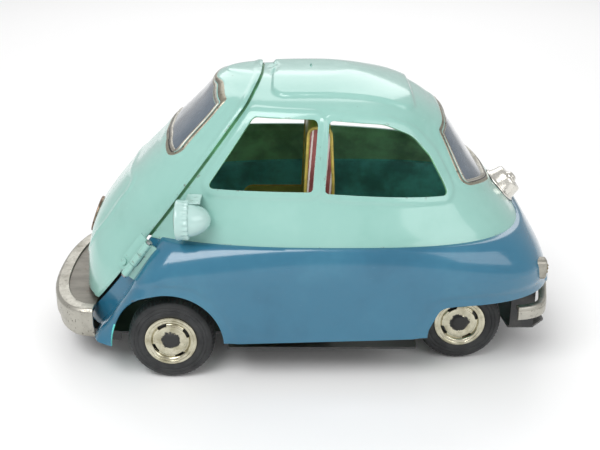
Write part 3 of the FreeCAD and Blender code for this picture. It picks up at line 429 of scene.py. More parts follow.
class Shader:
    """A Principled material with short calls for its node graph."""

    def __init__(self, name, color, roughness=0.4, metallic=0.0, **sockets):
        self.material = bpy.data.materials.new(name)
        self.material.use_nodes = True
        self.tree = self.material.node_tree
        self.surface = self.tree.nodes["Principled BSDF"]
        self.feed(self.surface, {"Base Color": color, "Roughness": roughness, "Metallic": metallic})
        self.feed(self.surface, {key.replace("_", " "): value for key, value in sockets.items()})
        self.place = self.node("TexCoord", {}).outputs["Object"]

    def feed(self, node, values):
        """Gives each input a number, a colour, a vector or another node's output."""
        for key, value in values.items():
            socket = node.inputs[key]
            if isinstance(value, bpy.types.NodeSocket):
                self.tree.links.new(value, socket)
            elif isinstance(value, tuple) and len(value) < len(socket.default_value):
                socket.default_value = (*value, 1)
            else:
                socket.default_value = value

    def node(self, kind, inputs, **settings):
        made = self.tree.nodes.new("ShaderNode" + kind)
        for key, value in settings.items():
            setattr(made, key, value)
        self.feed(made, inputs)
        return made

    def noise(self, scale, detail, roughness, stretch=(1, 1, 1)):
        """Noise whose scale is features per metre."""
        place = self.node("Mapping", {"Vector": self.place, "Scale": stretch}).outputs["Vector"]
        return self.node("TexNoise", {"Vector": place, "Scale": scale, "Detail": detail,
                                      "Roughness": roughness}).outputs["Fac"]

    def ramp(self, value, stops, smooth_between=True):
        ramp = self.node("ValToRGB", {"Fac": value})
        ramp.color_ramp.interpolation = "EASE" if smooth_between else "LINEAR"
        elements = ramp.color_ramp.elements
        while len(elements) < len(stops):
            elements.new(0.5)
        for element, (position, color) in zip(elements, stops):
            element.position = position
            element.color = (*color, 1)
        return ramp.outputs["Color"]

    def grey(self, value, low, high, start=0.0, end=1.0):
        return self.ramp(value, ((start, (low,) * 3), (end, (high,) * 3)), False)

    def math(self, operation, one, two=0.0, clamp=False):
        return self.node("Math", {0: one, 1: two}, operation=operation, use_clamp=clamp).outputs[0]

    def times(self, one, two, clamp=False):
        return self.math("MULTIPLY", one, two, clamp)

    def mix(self, share, one, two):
        return self.node("Mix", {0: share, 6: one, 7: two}, data_type="RGBA").outputs[2]

    def axis(self, name):
        return self.node("SeparateXYZ", {0: self.place}).outputs[name]

    def color(self, value):
        self.feed(self.surface, {"Base Color": value})

    def set(self, socket, value):
        self.feed(self.surface, {socket: value})

    def tint(self, value, *stops):
        self.color(self.ramp(value, stops))

    def rough(self, value, low, high, start=0.0, end=1.0):
        self.set("Roughness", self.grey(value, low, high, start, end))

    def bump(self, value, height, strength=1.0):
        made = self.node("Bump", {"Distance": height * MM, "Strength": strength, "Height": value})
        before = self.surface.inputs["Normal"]
        if before.is_linked:
            self.feed(made, {"Normal": before.links[0].from_socket})
        self.set("Normal", made.outputs["Normal"])

    def edges(self):
        """1 on sharp outer edges, 0 on the flats, from the surface's own pointiness."""
        pointiness = self.node("NewGeometry", {}).outputs["Pointiness"]
        return self.grey(pointiness, 0, 1, 0.53, 0.58)


def enamel(name, color, dark, light, chip_color):
    """Gloss lacquer on tin: soft mottling, fine scratches, dust and small rust-brown chips."""
    shader = Shader(name, color, 0.2, Coat_Weight=0.55, Coat_Roughness=0.07, Specular_IOR_Level=0.5)
    mottle = shader.noise(38, 4, 0.6)
    base = shader.ramp(mottle, ((0.3, dark), (0.52, color), (0.75, light)))
    speck = shader.grey(shader.noise(1300, 2, 0.6), 0, 1, 0.74, 0.79)
    patch = shader.grey(shader.noise(60, 3, 0.6), 0, 1, 0.56, 0.7)
    chips = shader.times(speck, patch, True)
    rubbed = shader.grey(shader.noise(420, 4, 0.7), 0, 1, 0.6, 0.72)
    worn = shader.times(shader.edges(), rubbed, True)
    chips = shader.math("MAXIMUM", chips, worn)
    shader.color(shader.mix(chips, base, chip_color))
    streak = shader.noise(260, 4, 0.65, (1, 1, 6))
    shader.rough(streak, 0.13, 0.3, 0.3, 0.8)
    shader.bump(shader.noise(210, 2, 0.5), 0.05, 0.35)
    shader.bump(chips, -0.05, 0.6)
    return shader.material


def plated(name, color, dark, roughness, wear):
    """Dull nickel or gilt plating: cloudy, finely scratched, dark where it has worn through."""
    shader = Shader(name, color, roughness, 1.0)
    cloud = shader.noise(85, 5, 0.62)
    base = shader.ramp(cloud, ((0.28, dark), (0.55, color), (0.8, scaled(color, 1.12))))
    speck = shader.grey(shader.noise(900, 5, 0.75), 0, 1, 0.62 - wear * 0.1, 0.7 - wear * 0.08)
    shader.color(shader.mix(speck, base, scaled(dark, 0.25)))
    scratch = shader.noise(700, 4, 0.6, (1, 1, 8))
    shader.rough(scratch, roughness * 0.7, roughness * 1.5, 0.3, 0.75)
    shader.bump(cloud, 0.03, 0.2)
    shader.bump(scratch, 0.015, 0.3)
    return shader.material


def bare_tin():
    shader = Shader("bare_tin_sheet", (0.20, 0.19, 0.165), 0.42, 0.8)
    grain = shader.noise(160, 5, 0.6, (1, 2, 1))
    base = shader.ramp(grain, ((0.3, (0.15, 0.14, 0.12)), (0.7, (0.25, 0.235, 0.205))))
    rust = shader.grey(shader.noise(520, 5, 0.7), 0, 0.8, 0.6, 0.72)
    shader.color(shader.mix(rust, base, (0.14, 0.085, 0.05)))
    shader.rough(grain, 0.34, 0.58)
    shader.bump(grain, 0.03, 0.4)
    return shader.material


def washed(name, color, metallic, noise, stops, roughness, gloss, relief, **sockets):
    """A paint or metal whose colour, gloss and relief all follow one noise."""
    shader = Shader(name, color, roughness, metallic, **sockets)
    wash = shader.noise(*noise)
    shader.tint(wash, *stops)
    shader.rough(wash, *gloss)
    shader.bump(wash, *relief)
    return shader.material


def scaled(color, factor):
    return tuple(c * factor for c in color)


def rubber():
    shader = Shader("tyre_rubber", (0.02, 0.021, 0.022), 0.55, 0.0, Specular_IOR_Level=0.4)
    dust = shader.noise(190, 5, 0.65)
    shader.tint(dust, (0.35, (0.013, 0.014, 0.015)), (0.62, (0.03, 0.031, 0.032)),
                (0.85, (0.075, 0.073, 0.068)))
    shader.rough(dust, 0.42, 0.72)
    shader.bump(shader.noise(1500, 2, 0.5), 0.03, 0.5)
    return shader.material


def tinted_pane_painted_shade(name):
    """Blue-grey celluloid, glossy and a little wavy, mostly opaque from outside. Its dark colour is the
    celluloid's own blue tint plus painted shade of the dark cabin seen through it.
    """
    shader = Shader(name, (0.13, 0.17, 0.215), 0.1, 0.0, Transmission_Weight=0.25, IOR=1.47,
                    Alpha=0.93, Coat_Weight=0.6, Coat_Roughness=0.05)
    # The dark blue-grey tones paint in the shaded cabin behind the pane, over the celluloid's own blue tint.
    haze = shader.noise(70, 4, 0.6)
    shader.tint(haze, (0.3, (0.10, 0.14, 0.185)), (0.7, (0.18, 0.22, 0.27)))
    shader.rough(shader.noise(300, 4, 0.7), 0.07, 0.24, 0.4, 0.8)
    shader.bump(shader.noise(28, 2, 0.5), 0.25, 0.25)
    return shader.material


def inner_paint(name, color):
    """Thin wash inside a shell, with the tin showing faintly through."""
    return washed(name, color, 0.0, (75, 4, 0.6), ((0.3, scaled(color, 0.6)), (0.7, scaled(color, 1.35))),
                  0.5, (0.38, 0.62), (0.05, 0.3))


def turned_steel(name, color, roughness):
    return washed(name, color, 1.0, (900, 3, 0.6, (1, 6, 1)), ((0.3, scaled(color, 0.7)), (0.7, color)),
                  roughness, (roughness * 0.8, roughness * 1.4), (0.02, 0.3))


MINT = enamel("mint_enamel", (0.272, 0.508, 0.45),
              (0.245, 0.475, 0.415), (0.30, 0.54, 0.48), (0.13, 0.085, 0.055))
LAMP_MINT = enamel("lamp_mint", (0.41, 0.60, 0.565),
                   (0.37, 0.56, 0.52), (0.46, 0.63, 0.60), (0.16, 0.12, 0.09))
BLUE = enamel("blue_enamel", (0.022, 0.142, 0.235),
              (0.016, 0.12, 0.205), (0.032, 0.17, 0.265), (0.09, 0.07, 0.06))
NICKEL = plated("dull_nickel", (0.45, 0.435, 0.385), (0.28, 0.265, 0.225), 0.4, 0.4)
FRAME_BAND = plated("aged_frame_plate", (0.36, 0.335, 0.265), (0.2, 0.18, 0.14), 0.38, 0.6)
NICKEL_BRIGHT = plated("bright_nickel", (0.74, 0.72, 0.66), (0.46, 0.43, 0.37), 0.24, 0.3)
LENS_PLATE = plated("plated_lens", (0.54, 0.53, 0.50), (0.33, 0.32, 0.30), 0.2, 0.2)
LENS_GOLD = plated("gilt_lens", (0.29, 0.245, 0.145), (0.15, 0.125, 0.07), 0.28, 0.4)
BADGE = plated("aged_badge", (0.30, 0.225, 0.165), (0.13, 0.09, 0.065), 0.34, 0.6)
TIN = bare_tin()
BLACK = washed("black_lacquer", (0.016, 0.017, 0.018), 0.0, (240, 4, 0.6),
               ((0.4, (0.012, 0.013, 0.014)), (0.8, (0.05, 0.048, 0.044))),
               0.35, (0.28, 0.55), (0.04, 0.4), Coat_Weight=0.2)
RUBBER = rubber()
SHADED_PANE = tinted_pane_painted_shade("tinted_pane_painted_shade")
GREEN_INSIDE = inner_paint("green_inside", (0.24, 0.56, 0.32))
TEAL_INSIDE = inner_paint("teal_inside", (0.14, 0.60, 0.56))
STEEL = turned_steel("turned_steel", (0.42, 0.42, 0.42), 0.32)
BRASS = turned_steel("stamped_brass", (0.55, 0.38, 0.13), 0.3)


# ------------------------ the cabin

def two_sided(obj, inner_material, centre=(0.0, 0.0, 50.0)):
    """Paints the faces that look inwards with the inside colour."""
    obj.data.materials.append(inner_material)
    middle = Vector(centre) * MM
    for face in obj.data.polygons:
        outward = face.center - middle
        if face.normal.dot(outward.normalized()) < -0.15:
            face.material_index = 1
    return obj


def window_outlines():
    return (rounded_outline(FRONT_WINDOW, FRONT_WINDOW_RADII),
            rounded_outline(REAR_WINDOW, REAR_WINDOW_RADII))


def push_out(grid, normals, amount):
    return grid + normals * amount.reshape(grid.shape[:2])[..., None]


def roof_panel_rise(points):
    edge = outline_distance(points[:, PLAN_VIEW], rounded_outline(ROOF_PANEL, (5.0,) * 4))
    return np.where(points[:, 2] > 72, ROOF_PANEL_RISE * fall_off(edge, -0.9, 0.25), 0)


def upper_body():
    grid, normals = egg_grid(FINE, FINE_COLUMNS, BELT)
    flat = grid.reshape(-1, 3)
    front, rear = window_outlines()
    screen = rounded_outline(REAR_SCREEN, SCREEN_RADII)
    amount = roof_panel_rise(flat)
    for outline in (front, rear):
        edge = outline_distance(flat[:, SIDE_VIEW], outline)
        amount += WINDOW_RIM_RISE * fall_off(edge, 1.7, 2.7) * (np.abs(flat[:, 1]) > 18)
    edge = outline_distance(flat[:, FACE_VIEW], screen)
    amount += REAR_RIM_RISE * fall_off(edge, 1.6, 3.2) * (flat[:, 0] > 20)
    amount += SEAM_RISE * fall_off(flat[:, 2], BELT + 0.6, BELT + 1.8)
    shell = sheet_metal("cabin_shell", *trimmed(
        push_out(grid, normals, amount),
        lambda p: p[:, 2] - BELT - HAIR,
        lambda p: door_plane(p) - DOOR_GAP / 2,
        lambda p: outline_distance(p[:, SIDE_VIEW], front),
        lambda p: outline_distance(p[:, SIDE_VIEW], rear),
        lambda p: np.where(p[:, 0] > 0, outline_distance(p[:, FACE_VIEW], screen), 50.0)), MINT)
    two_sided(shell, GREEN_INSIDE)
    attach(shell, CAR, "upper_body_shell")


# ------------------------ the door

def door():
    grid, normals = egg_grid(FINE, FINE_COLUMNS, DOOR_FOOT - 2, DOOR_PROUD)
    flat = grid.reshape(-1, 3)
    nose = flat[:, 0] < 0
    screen = rounded_outline(WINDSCREEN, SCREEN_RADII)
    behind = -door_plane(flat) * DOOR_PLANE_SHARE
    amount = DOOR_BEAD_RISE * bump(behind, 1.1, 1.2) * nose
    amount += SCREEN_RIM_RISE * fall_off(outline_distance(flat[:, FACE_VIEW], screen), 1.5, 3.0) * nose
    amount += shield_rise(flat)
    panel = sheet_metal("door_skin", *trimmed(
        push_out(grid, normals, amount),
        lambda p: -door_plane(p) - DOOR_GAP / 2,
        lambda p: p[:, 2] - DOOR_FOOT,
        lambda p: outline_distance(p[:, FACE_VIEW], screen),
        hinge_notch), MINT)
    two_sided(panel, GREEN_INSIDE, (-20, 0, 50))
    attach(panel, DOOR, "door_panel")


def shield_rise(points):
    """The pressed panel outline on the nose, a raised bead in the shape of a broad shield."""
    edge = outline_distance(points[:, FACE_VIEW], rounded_outline(SHIELD, (9.0, 9.0, 4.0, 4.0)))
    return np.where(points[:, 0] < -30, SHIELD_RISE * bump(edge, 0, 1.3), 0)


def hinge_notch(points):
    """Positive outside the step in the door's left edge that the hinge leaf sits in."""
    spot = points - np.array(HINGE_MIDDLE)
    up = np.array((DOOR_SLOPE, 0, 1)) / math.hypot(DOOR_SLOPE, 1)
    along = np.array((0.87, -0.49, 0))
    along -= up * (along @ up)
    along /= np.linalg.norm(along)
    u, v, w = spot @ along, spot @ np.cross(up, along), spot @ up
    front, back, depth, half_length = NOTCH_REACH
    return np.maximum.reduce((np.abs(w) - half_length, -front - u, u - back, np.abs(v) - depth))


def door_lip():
    """The body's inner flange behind the door gap, so that the gap looks dark."""
    grid, _ = egg_grid(0.9, 384, BELT, -SKIN)
    outline = window_outlines()[0]
    lip = sheet_metal("door_lip", *trimmed(
        grid,
        lambda p: p[:, 2] - BELT - HAIR,
        lambda p: door_plane(p) + LIP_AHEAD,
        lambda p: LIP_BEHIND - door_plane(p),
        lambda p: outline_distance(p[:, SIDE_VIEW], outline) - 0.3), GREEN_INSIDE, 0.4, 0)
    attach(lip, CAR, "upper_body_shell")


# ------------------------ the lower body

def fender_rows(heights):
    """Points round the lower body at each height, evenly spread."""
    rows = []
    belt = LEVELS[BELT_ROW]
    lean = (FENDER_TAIL_HIGH - FENDER_TAIL) / (FENDER_SHOULDER - SKIRT_LINE)
    for height in heights:
        rise = max(0.0, height - FENDER_SHOULDER) / FENDER_CROWN
        share = math.sqrt(max(0.0, 1 - rise * rise))
        front = FENDER_FRONT + FENDER_SLOPE * height
        bend = front + FENDER_CORNER

        def side(x):
            part = min(1, abs((MIDDLE_LOW - x) / (MIDDLE_LOW - belt[NOSE])))
            cabin = belt[HALF] * (1 - part ** belt[FRONT_POWER]) ** (1 / belt[FRONT_POWER])
            return (1 - share) * cabin + share * FENDER_HALF

        inner_edge = side(bend) - FENDER_CORNER
        half = [(front, inner_edge * part / 10) for part in range(10)]
        for step in range(11):
            turn = math.radians(180 - 9 * step)
            half.append((bend + FENDER_CORNER * math.cos(turn), inner_edge + FENDER_CORNER * math.sin(turn)))
        for step in range(1, 60):
            x = bend + (MIDDLE_LOW - bend) * step / 60
            half.append((x, side(x)))
        tail = FENDER_TAIL + lean * (max(height, 18.0) - SKIRT_LINE)
        tail_power = float(np.interp(height, (SKIRT_LINE, FENDER_SHOULDER), TAIL_POWERS))
        for step in range(97):
            angle = math.pi / 2 * (1 - step / 96)
            seam = super_point(angle, belt[TAIL], belt[HALF], belt[REAR_POWER])
            full = super_point(angle, tail, FENDER_HALF, tail_power)
            half.append(tuple((1 - share) * a + share * b for a, b in zip(seam, full)))
        mirrored = [(x, -y) for x, y in reversed(half[1:-1])]
        rows.append([(x, y, height) for x, y in half + mirrored])
    return np.array(rows)


def super_point(angle, tail, half, power):
    along, across = max(0.0, math.cos(angle)), math.sin(angle)
    stretch = super_stretch(along, across, power)
    return MIDDLE_LOW + (tail - MIDDLE_LOW) * along * stretch, half * across * stretch


def arch_edge(points):
    """Distance outside the front arch and the rear cut-out, in the side view."""
    front = np.hypot(points[:, 0] - ARCH_X, points[:, 2] - ARCH_Z) - ARCH_RADIUS
    corners = ((REAR_ARCH_FRONT - 1.5, -20), (REAR_ARCH_FRONT, 18.0),
               (REAR_ARCH_FRONT + 3.6, SKIRT_LINE - 0.5), (REAR_ARCH_FRONT + 8, SKIRT_LINE),
               (120, SKIRT_LINE), (120, -20))
    outline = rounded_outline(corners, (0.5, 6.0, 4.0, 10.0, 0.5, 0.5))
    return np.minimum(front, outline_distance(points[:, SIDE_VIEW], outline))


def above_sill(points):
    sill = np.interp(points[:, 0], (-60, -40, 40), (12.8, 13.4, 15.8))
    return points[:, 2] - sill


def lower_body():
    heights = list(np.arange(9.0, FENDER_SHOULDER, 0.8))
    turns = np.arcsin((BELT - FENDER_SHOULDER) / FENDER_CROWN)
    heights += [FENDER_SHOULDER + FENDER_CROWN * math.sin(turns * step / 22) for step in range(23)]
    grid = fender_rows(heights)
    flat = grid.reshape(-1, 3)
    flare = np.where(np.abs(flat[:, 1]) > 25, ARCH_FLARE * fall_off(arch_edge(flat), 2.6, 4.2), 0)
    grid = push_out(grid, grid_normals(grid), flare)
    shelf = belt_ring(grid[-1]) - grid[-1]
    grid = np.concatenate([grid, np.array([grid[-1] + shelf * share for share in (0.35, 0.7, 1.0)])])
    shell = sheet_metal("fender_shell", *trimmed(grid, arch_edge, above_sill, front_face_opening), BLUE)
    two_sided(shell, TEAL_INSIDE, (0, 0, 25))
    for piece in (shell, jamb_strip()):
        attach(piece, CAR, "lower_body_shell")


def belt_ring(outer):
    """The inner edge of the shelf under the cabin, in step with the outer ring."""
    belt = LEVELS[BELT_ROW]
    behind, ahead = belt[TAIL] - MIDDLE_LOW, MIDDLE_LOW - belt[NOSE]
    ring = []
    for x, y, z in outer:
        angle = math.atan2(y / belt[HALF], (x - MIDDLE_LOW) / (behind if x > MIDDLE_LOW else ahead))
        along, across = math.cos(angle), math.sin(angle)
        reach, power = (behind, belt[REAR_POWER]) if along > 0 else (ahead, belt[FRONT_POWER])
        stretch = super_stretch(along, across, power)
        ring.append((MIDDLE_LOW + (reach - SKIN) * along * stretch,
                     (belt[HALF] - SKIN) * across * stretch, z))
    return np.array(ring)


def front_face_opening(points):
    """Positive except where the front of the fender block opens into the cabin."""
    face = FENDER_FRONT + FENDER_SLOPE * points[:, 2]
    in_face = points[:, 0] < face + 4.0
    half = np.interp(points[:, 2], (9, 22, 34, 44), (27.1, 32.0, 34.2, 32.3))
    return np.where(in_face, np.abs(points[:, 1]) - half, 10.0)


def jamb_strip():
    """The sides of the nose behind the door's lower half, ahead of the fender block."""
    grid, _ = egg_grid(FINE, 640, 9.0)
    jamb = sheet_metal("door_jamb", *trimmed(
        grid,
        lambda p: BELT - p[:, 2],
        lambda p: door_plane(p) - DOOR_GAP / 2,
        lambda p: FENDER_FRONT + FENDER_SLOPE * p[:, 2] + 0.6 - p[:, 0],
        above_sill), BLUE)
    return two_sided(jamb, TEAL_INSIDE, (0, 0, 25))


# ------------------------ screens

def on_egg(across, height, back, lift):
    """Points on the front or the back of the cabin at the given y and z, lifted off the skin."""
    def surface(y, z):
        dense = spline_table(LEVELS, np.linspace(0, len(LEVELS) - 1, 1201))
        row = [np.interp(z, dense[:, HEIGHT], dense[:, k]) for k in range(6)]
        centre = egg_middle(z)
        power = row[REAR_POWER] if back else row[FRONT_POWER]
        reach = row[TAIL] - centre if back else row[NOSE] - centre
        inside = np.clip(1 - (np.abs(y) / row[HALF]) ** power, 1e-6, 1)
        return centre + reach * inside ** (1 / power)

    step = 0.05
    x = surface(across, height)
    lean_y = (surface(across + step, height) - surface(across - step, height)) / (2 * step)
    lean_z = (surface(across, height + step) - surface(across, height - step)) / (2 * step)
    sign = 1 if back else -1
    normal = np.stack([np.full_like(x, sign), -sign * lean_y, -sign * lean_z], -1)
    normal /= np.linalg.norm(normal, axis=-1, keepdims=True)
    return np.stack([x, across, height], -1) + normal * np.asarray(lift)[..., None]


def even_loop(outline, count):
    """A closed outline resampled evenly, with its outward normals."""
    closed = np.concatenate([outline, outline[:1]])
    run = np.concatenate(([0], np.cumsum(np.linalg.norm(np.diff(closed, axis=0), axis=1))))
    spots = np.linspace(0, run[-1], count, endpoint=False)
    loop = np.stack([np.interp(spots, run, closed[:, k]) for k in range(2)], 1)
    along = np.roll(loop, -1, 0) - np.roll(loop, 1, 0)
    normals = np.stack([along[:, 1], -along[:, 0]], 1)
    return loop, normals / np.linalg.norm(normals, axis=1, keepdims=True)


# Across the frame, outwards from the opening's edge, and height over the skin. The bands between
# the points are the bright bead, a black band in the groove that is painted shadow, and the aged outer band.
FRAME_SECTION = ((-0.8, -0.7), (-0.85, 0.1), (-0.75, 0.4), (-0.5, 0.58), (-0.2, 0.5), (-0.05, 0.28),
                 (0.12, 0.26), (0.25, 0.44), (0.7, 0.5), (1.0, 0.38), (1.2, 0.12), (1.2, -0.4), (0.8, -0.7))
# Bands 5 and 6 lie in the groove and are painted black as painted shadow.
FRAME_BRIGHT, FRAME_SHADOW_BANDS = 5, (5, 6)
PANE_INSET, PANE_BOW, PANE_BOW_REACH = 0.4, 0.35, 9


def screen(name, corners, back, push, owner, frame_node, pane_node):
    """A rolled nickel frame with a black band of painted shadow in its groove, and the bowed pane inside it.
    """
    outline = rounded_outline(corners, SCREEN_RADII)
    loop, normals = even_loop(outline, 300)
    rows = []
    for across, lift in FRAME_SECTION:
        spots = loop + normals * across
        rows.append(on_egg(spots[:, 0], spots[:, 1], back, lift + push))
    rows.append(rows[0])
    bead = loft(name + "_bead", rows, NICKEL)
    bead.data.materials.append(BLACK)
    bead.data.materials.append(FRAME_BAND)
    # The groove bands get black lacquer: painted shadow between the bead and the outer band.
    for index, face in enumerate(bead.data.polygons):
        band = index // len(loop)
        face.material_index = 1 if band in FRAME_SHADOW_BANDS else 0 if band < FRAME_BRIGHT else 2
    weld(bead)
    smooth(bead, 60)
    y, z = np.meshgrid(np.linspace(-30, 30, 61), np.linspace(55, 90, 51))
    inner = outline_distance(np.stack([y.ravel(), z.ravel()], 1), outline).reshape(z.shape)
    bow = np.sqrt(np.clip(-inner / PANE_BOW_REACH, 0, 1))
    sheet = on_egg(np.clip(y, -28.5, 28.5), np.clip(z, 50, 88), back, push + PANE_BOW * (bow - 1))
    pane = sheet_metal(name + "_pane", *trimmed(
        sheet, lambda p: -PANE_INSET - outline_distance(p[:, FACE_VIEW], outline), wraps=False),
        SHADED_PANE, 0.45, 0)
    attach(bead, owner, frame_node)
    attach(pane, owner, pane_node)


# ------------------------ bumpers

def swept(name, path, outward, section, material):
    """A closed section (distance outwards, z) carried along a plan path, capped at its ends."""
    rows = []
    for spot, way in zip(path, outward):
        rows.append([(spot[0] + way[0] * out, spot[1] + way[1] * out, z) for out, z in section])
    obj = loft(name, rows, material, capped=True)
    weld(obj)
    bevel(obj, 0.3, 3, 60)
    return bake(obj, 50)


def plan_ways(path, middle=(0.0, 0.0)):
    """Directions square to a plan path, all pointing away from the middle."""
    along = np.gradient(path, axis=0)
    ways = np.stack([along[:, 1], -along[:, 0]], 1)
    ways /= np.linalg.norm(ways, axis=1, keepdims=True)
    facing = ((path - np.array(middle)) * ways).sum(1)
    return ways * np.sign(facing)[:, None]


FRONT_BAR_ENDS, FRONT_BAR_DEPTH, FRONT_BAR_HALF, FRONT_BAR_POWER = -65.5, 17.0, 35.5, 2.3
FRONT_BAR_SECTION = (
    (-4.5, 20.3), (-4.4, 21.0), (-0.9, 21.0), (0.0, 20.1), (0.0, 14.9), (-0.7, 14.6),
    (-0.75, 11.6), (-1.2, 11.0), (-1.9, 11.0), (-1.45, 14.2), (-0.8, 15.2), (-0.8, 20.3))
FRONT_BAR_RADII = (0.15, 0.25, 0.7, 0.9, 0.2, 0.12, 0.4, 0.2, 0.2, 0.3, 0.3, 0.2)
REAR_BAR_HALF = [(66.5, 38.0), (70.2, 37.2), (73.6, 35.4), (75.6, 33.1), (76.8, 30.0),
                 (77.7, 26.0), (79.0, 20.0), (80.6, 13.0), (82.0, 6.0)]
REAR_BAR_MIDDLE = (82.5, 0.0)
REAR_BAR_SECTION = ((-2.6, 21.9), (-2.5, 23.0), (-0.3, 23.0), (0.0, 21.9), (-0.22, 21.7),
                    (0.0, 21.5), (0.0, 18.6), (-0.8, 18.6), (-0.9, 21.8))
REAR_BAR_RADII = (0.1, 0.5, 0.6, 0.1, 0.08, 0.1, 0.6, 0.3, 0.1)
STRAP_PATH = ((75.0, -9.0), (75.0, 9.0))
STRAP_SECTION = ((0, 11.1), (0.8, 11.1), (0.8, 18.6), (5.4, 18.6), (5.4, 19.4), (0, 19.4))


def front_bumper():
    angle = np.linspace(-math.pi / 2, math.pi / 2, 121)
    across, ahead = np.sin(angle), np.maximum(np.cos(angle), 0)
    stretch = super_stretch(ahead, across, FRONT_BAR_POWER)
    path = np.stack([FRONT_BAR_ENDS - FRONT_BAR_DEPTH * ahead * stretch,
                     FRONT_BAR_HALF * across * stretch], 1)
    section = rounded_outline(FRONT_BAR_SECTION, FRONT_BAR_RADII, 4)
    bar = swept("front_bumper_bar", path, plan_ways(path, (-60, 0)), section, NICKEL)
    attach(bar, CAR, "front_bumper")


def rear_bumper():
    knots = np.array(REAR_BAR_HALF + [REAR_BAR_MIDDLE] + [(x, -y) for x, y in reversed(REAR_BAR_HALF)])
    path = spline_table(knots, np.linspace(0, len(knots) - 1, 109))
    section = rounded_outline(REAR_BAR_SECTION, REAR_BAR_RADII)
    bar = swept("rear_bumper_bar", path, plan_ways(path), section, NICKEL)
    strap = swept("rear_bumper_strap", STRAP_PATH, ((1, 0), (1, 0)), STRAP_SECTION, NICKEL)
    for piece in (bar, strap):
        attach(piece, CAR, "rear_bumper")


# ------------------------ lamps and badge

HEADLAMP = (-36.0, 39.0, 52.7)
POD_RADIUS, POD_START, POD_LENGTH = 5.25, 0.6, 8.2
GLASS_RADIUS, GLASS_BOW = 5.2, 1.2
BEZEL_CORNERS = ((4.9, 2.0), (5.6, 2.5), (6.0, 2.1), (5.85, 1.2), (5.9, 0.2), (6.1, -0.8), (5.9, -1.5),
                 (5.2, -1.5), (4.9, -1.1), (4.9, -0.4))


def headlamp(side):
    where = "left" if side < 0 else "right"
    place = ((HEADLAMP[0], side * HEADLAMP[1], HEADLAMP[2]), (1, 0, 0))
    pod_rows = [(5.1, -0.2), (POD_RADIUS, POD_START)]
    for step in range(1, 25):
        along = POD_START + POD_LENGTH * math.sin(math.pi / 2 * step / 24)
        share = (along - POD_START) / POD_LENGTH
        pod_rows.append((POD_RADIUS * max(0.0, 1 - share ** 2.1) ** 0.52, along))
    pod = lathe("headlamp_shell_" + where, pod_rows, *place, LAMP_MINT)
    ring = rounded_profile(BEZEL_CORNERS, 0.25)
    teeth = [float(np.clip((along - 0.2) / 1.2, 0, 1)) for _, along in ring]
    bezel = lathe("headlamp_rim_" + where, ring, *place, LAMP_MINT, 280, 45, ribs=20, depth=0.4, fluted=teeth)
    glass = [(GLASS_RADIUS, -0.9)]
    for step in range(13):
        turn = math.pi / 2 * step / 12
        glass.append((GLASS_RADIUS * math.cos(turn), -1.1 - GLASS_BOW * math.sin(turn)))
    lens = lathe("headlamp_glass_" + where, glass, *place, LENS_PLATE)
    attach(pod, CAR, "headlamp_pod_" + where)
    attach(bezel, CAR, "headlamp_bezel_" + where)
    attach(lens, CAR, "headlamp_lens_" + where)


REAR_LAMP = ((65.1, 0.0, 49.0), (0.757, 0.0, 0.653))
CONE_CORNERS = ((6.6, -0.6), (6.6, 0.35), (6.3, 0.75), (6.0, 0.65), (5.8, 0.9), (5.3, 2.6), (5.0, 4.2),
                (4.6, 4.8), (3.6, 4.9), (2.6, 4.6), (0.0, 4.6))
SEAT_CORNERS = ((6.3, -0.7), (6.85, -0.5), (6.9, 0.05), (6.4, 0.25))
KNOB_CORNERS = ((2.2, 4.4), (2.15, 5.1), (1.7, 5.5), (1.45, 5.9), (0.9, 6.2), (0.0, 6.2))


def rear_lamp():
    for name, corners, radius, material, node in (
            ("rear_lamp_cone", CONE_CORNERS, 0.3, NICKEL_BRIGHT, "rear_lamp_dome"),
            ("rear_lamp_seat", SEAT_CORNERS, 0.1, BLACK, "rear_lamp_dome"),
            ("rear_lamp_knob", KNOB_CORNERS, 0.25, NICKEL_BRIGHT, "rear_lamp_boss")):
        piece = lathe(name, rounded_profile(corners, radius), *REAR_LAMP, material)
        attach(piece, CAR, node)


TAIL_LAMP_SIDE, TAIL_LAMP_HEIGHT = 30.0, 33.0
TAIL_LAMP_OUTLINE = ((-2.3, -3.3), (2.3, -3.3), (2.3, 3.3), (-2.3, 3.3))
TAIL_LAMP_RIM = ((0.0, 69.0), (0.0, 74.6), (-0.1, 75.1), (-0.4, 75.4), (-0.8, 75.3), (-0.9, 74.8),
                 (-0.9, 74.1))
TAIL_LAMP_RIB = 1.1


def tail_lamp(side):
    where = "left" if side < 0 else "right"
    loop, normals = even_loop(rounded_outline(TAIL_LAMP_OUTLINE, (1.5,) * 4), 64)

    def shell(name, rows, material, angle):
        obj = loft(name + where, rows + np.array((0, side * TAIL_LAMP_SIDE, TAIL_LAMP_HEIGHT)), material)
        weld(obj)
        smooth(obj, angle)
        return obj

    rim = [[(x, y, z) for y, z in loop + normals * inset] for inset, x in TAIL_LAMP_RIM]
    glass = []
    for share in (1.0, 0.96, 0.85, 0.7, 0.52, 0.34, 0.16, 0.001):
        bow = 74.8 + 1.35 * math.sqrt(max(0.0, 1 - share ** 2.4))
        rib = 0.16 * (share < 0.99)
        glass.append([(bow + rib * math.cos(2 * math.pi * z / TAIL_LAMP_RIB), y, z)
                      for y, z in loop * share - normals * 0.9 * share])
    attach(shell("tail_lamp_shell_", rim, NICKEL, 40), CAR, "tail_lamp_rim_" + where)
    attach(shell("tail_lamp_glass_", glass, LENS_GOLD, 60), CAR, "tail_lamp_lens_" + where)


BADGE_PLACE = ((-68.9, 0.0, 39.2), (-0.94, 0.0, 0.34))
BADGE_CORNERS = ((6.0, -0.9), (6.2, 0.0), (6.0, 0.35), (5.5, 0.42), (5.2, 0.2), (4.4, 0.25),
                 (2.0, 0.42), (0.0, 0.45))


def badge():
    disc = lathe("nose_badge", rounded_profile(BADGE_CORNERS, 0.2), *BADGE_PLACE, BADGE)
    attach(disc, DOOR, "door_badge")


# ------------------------ wheels

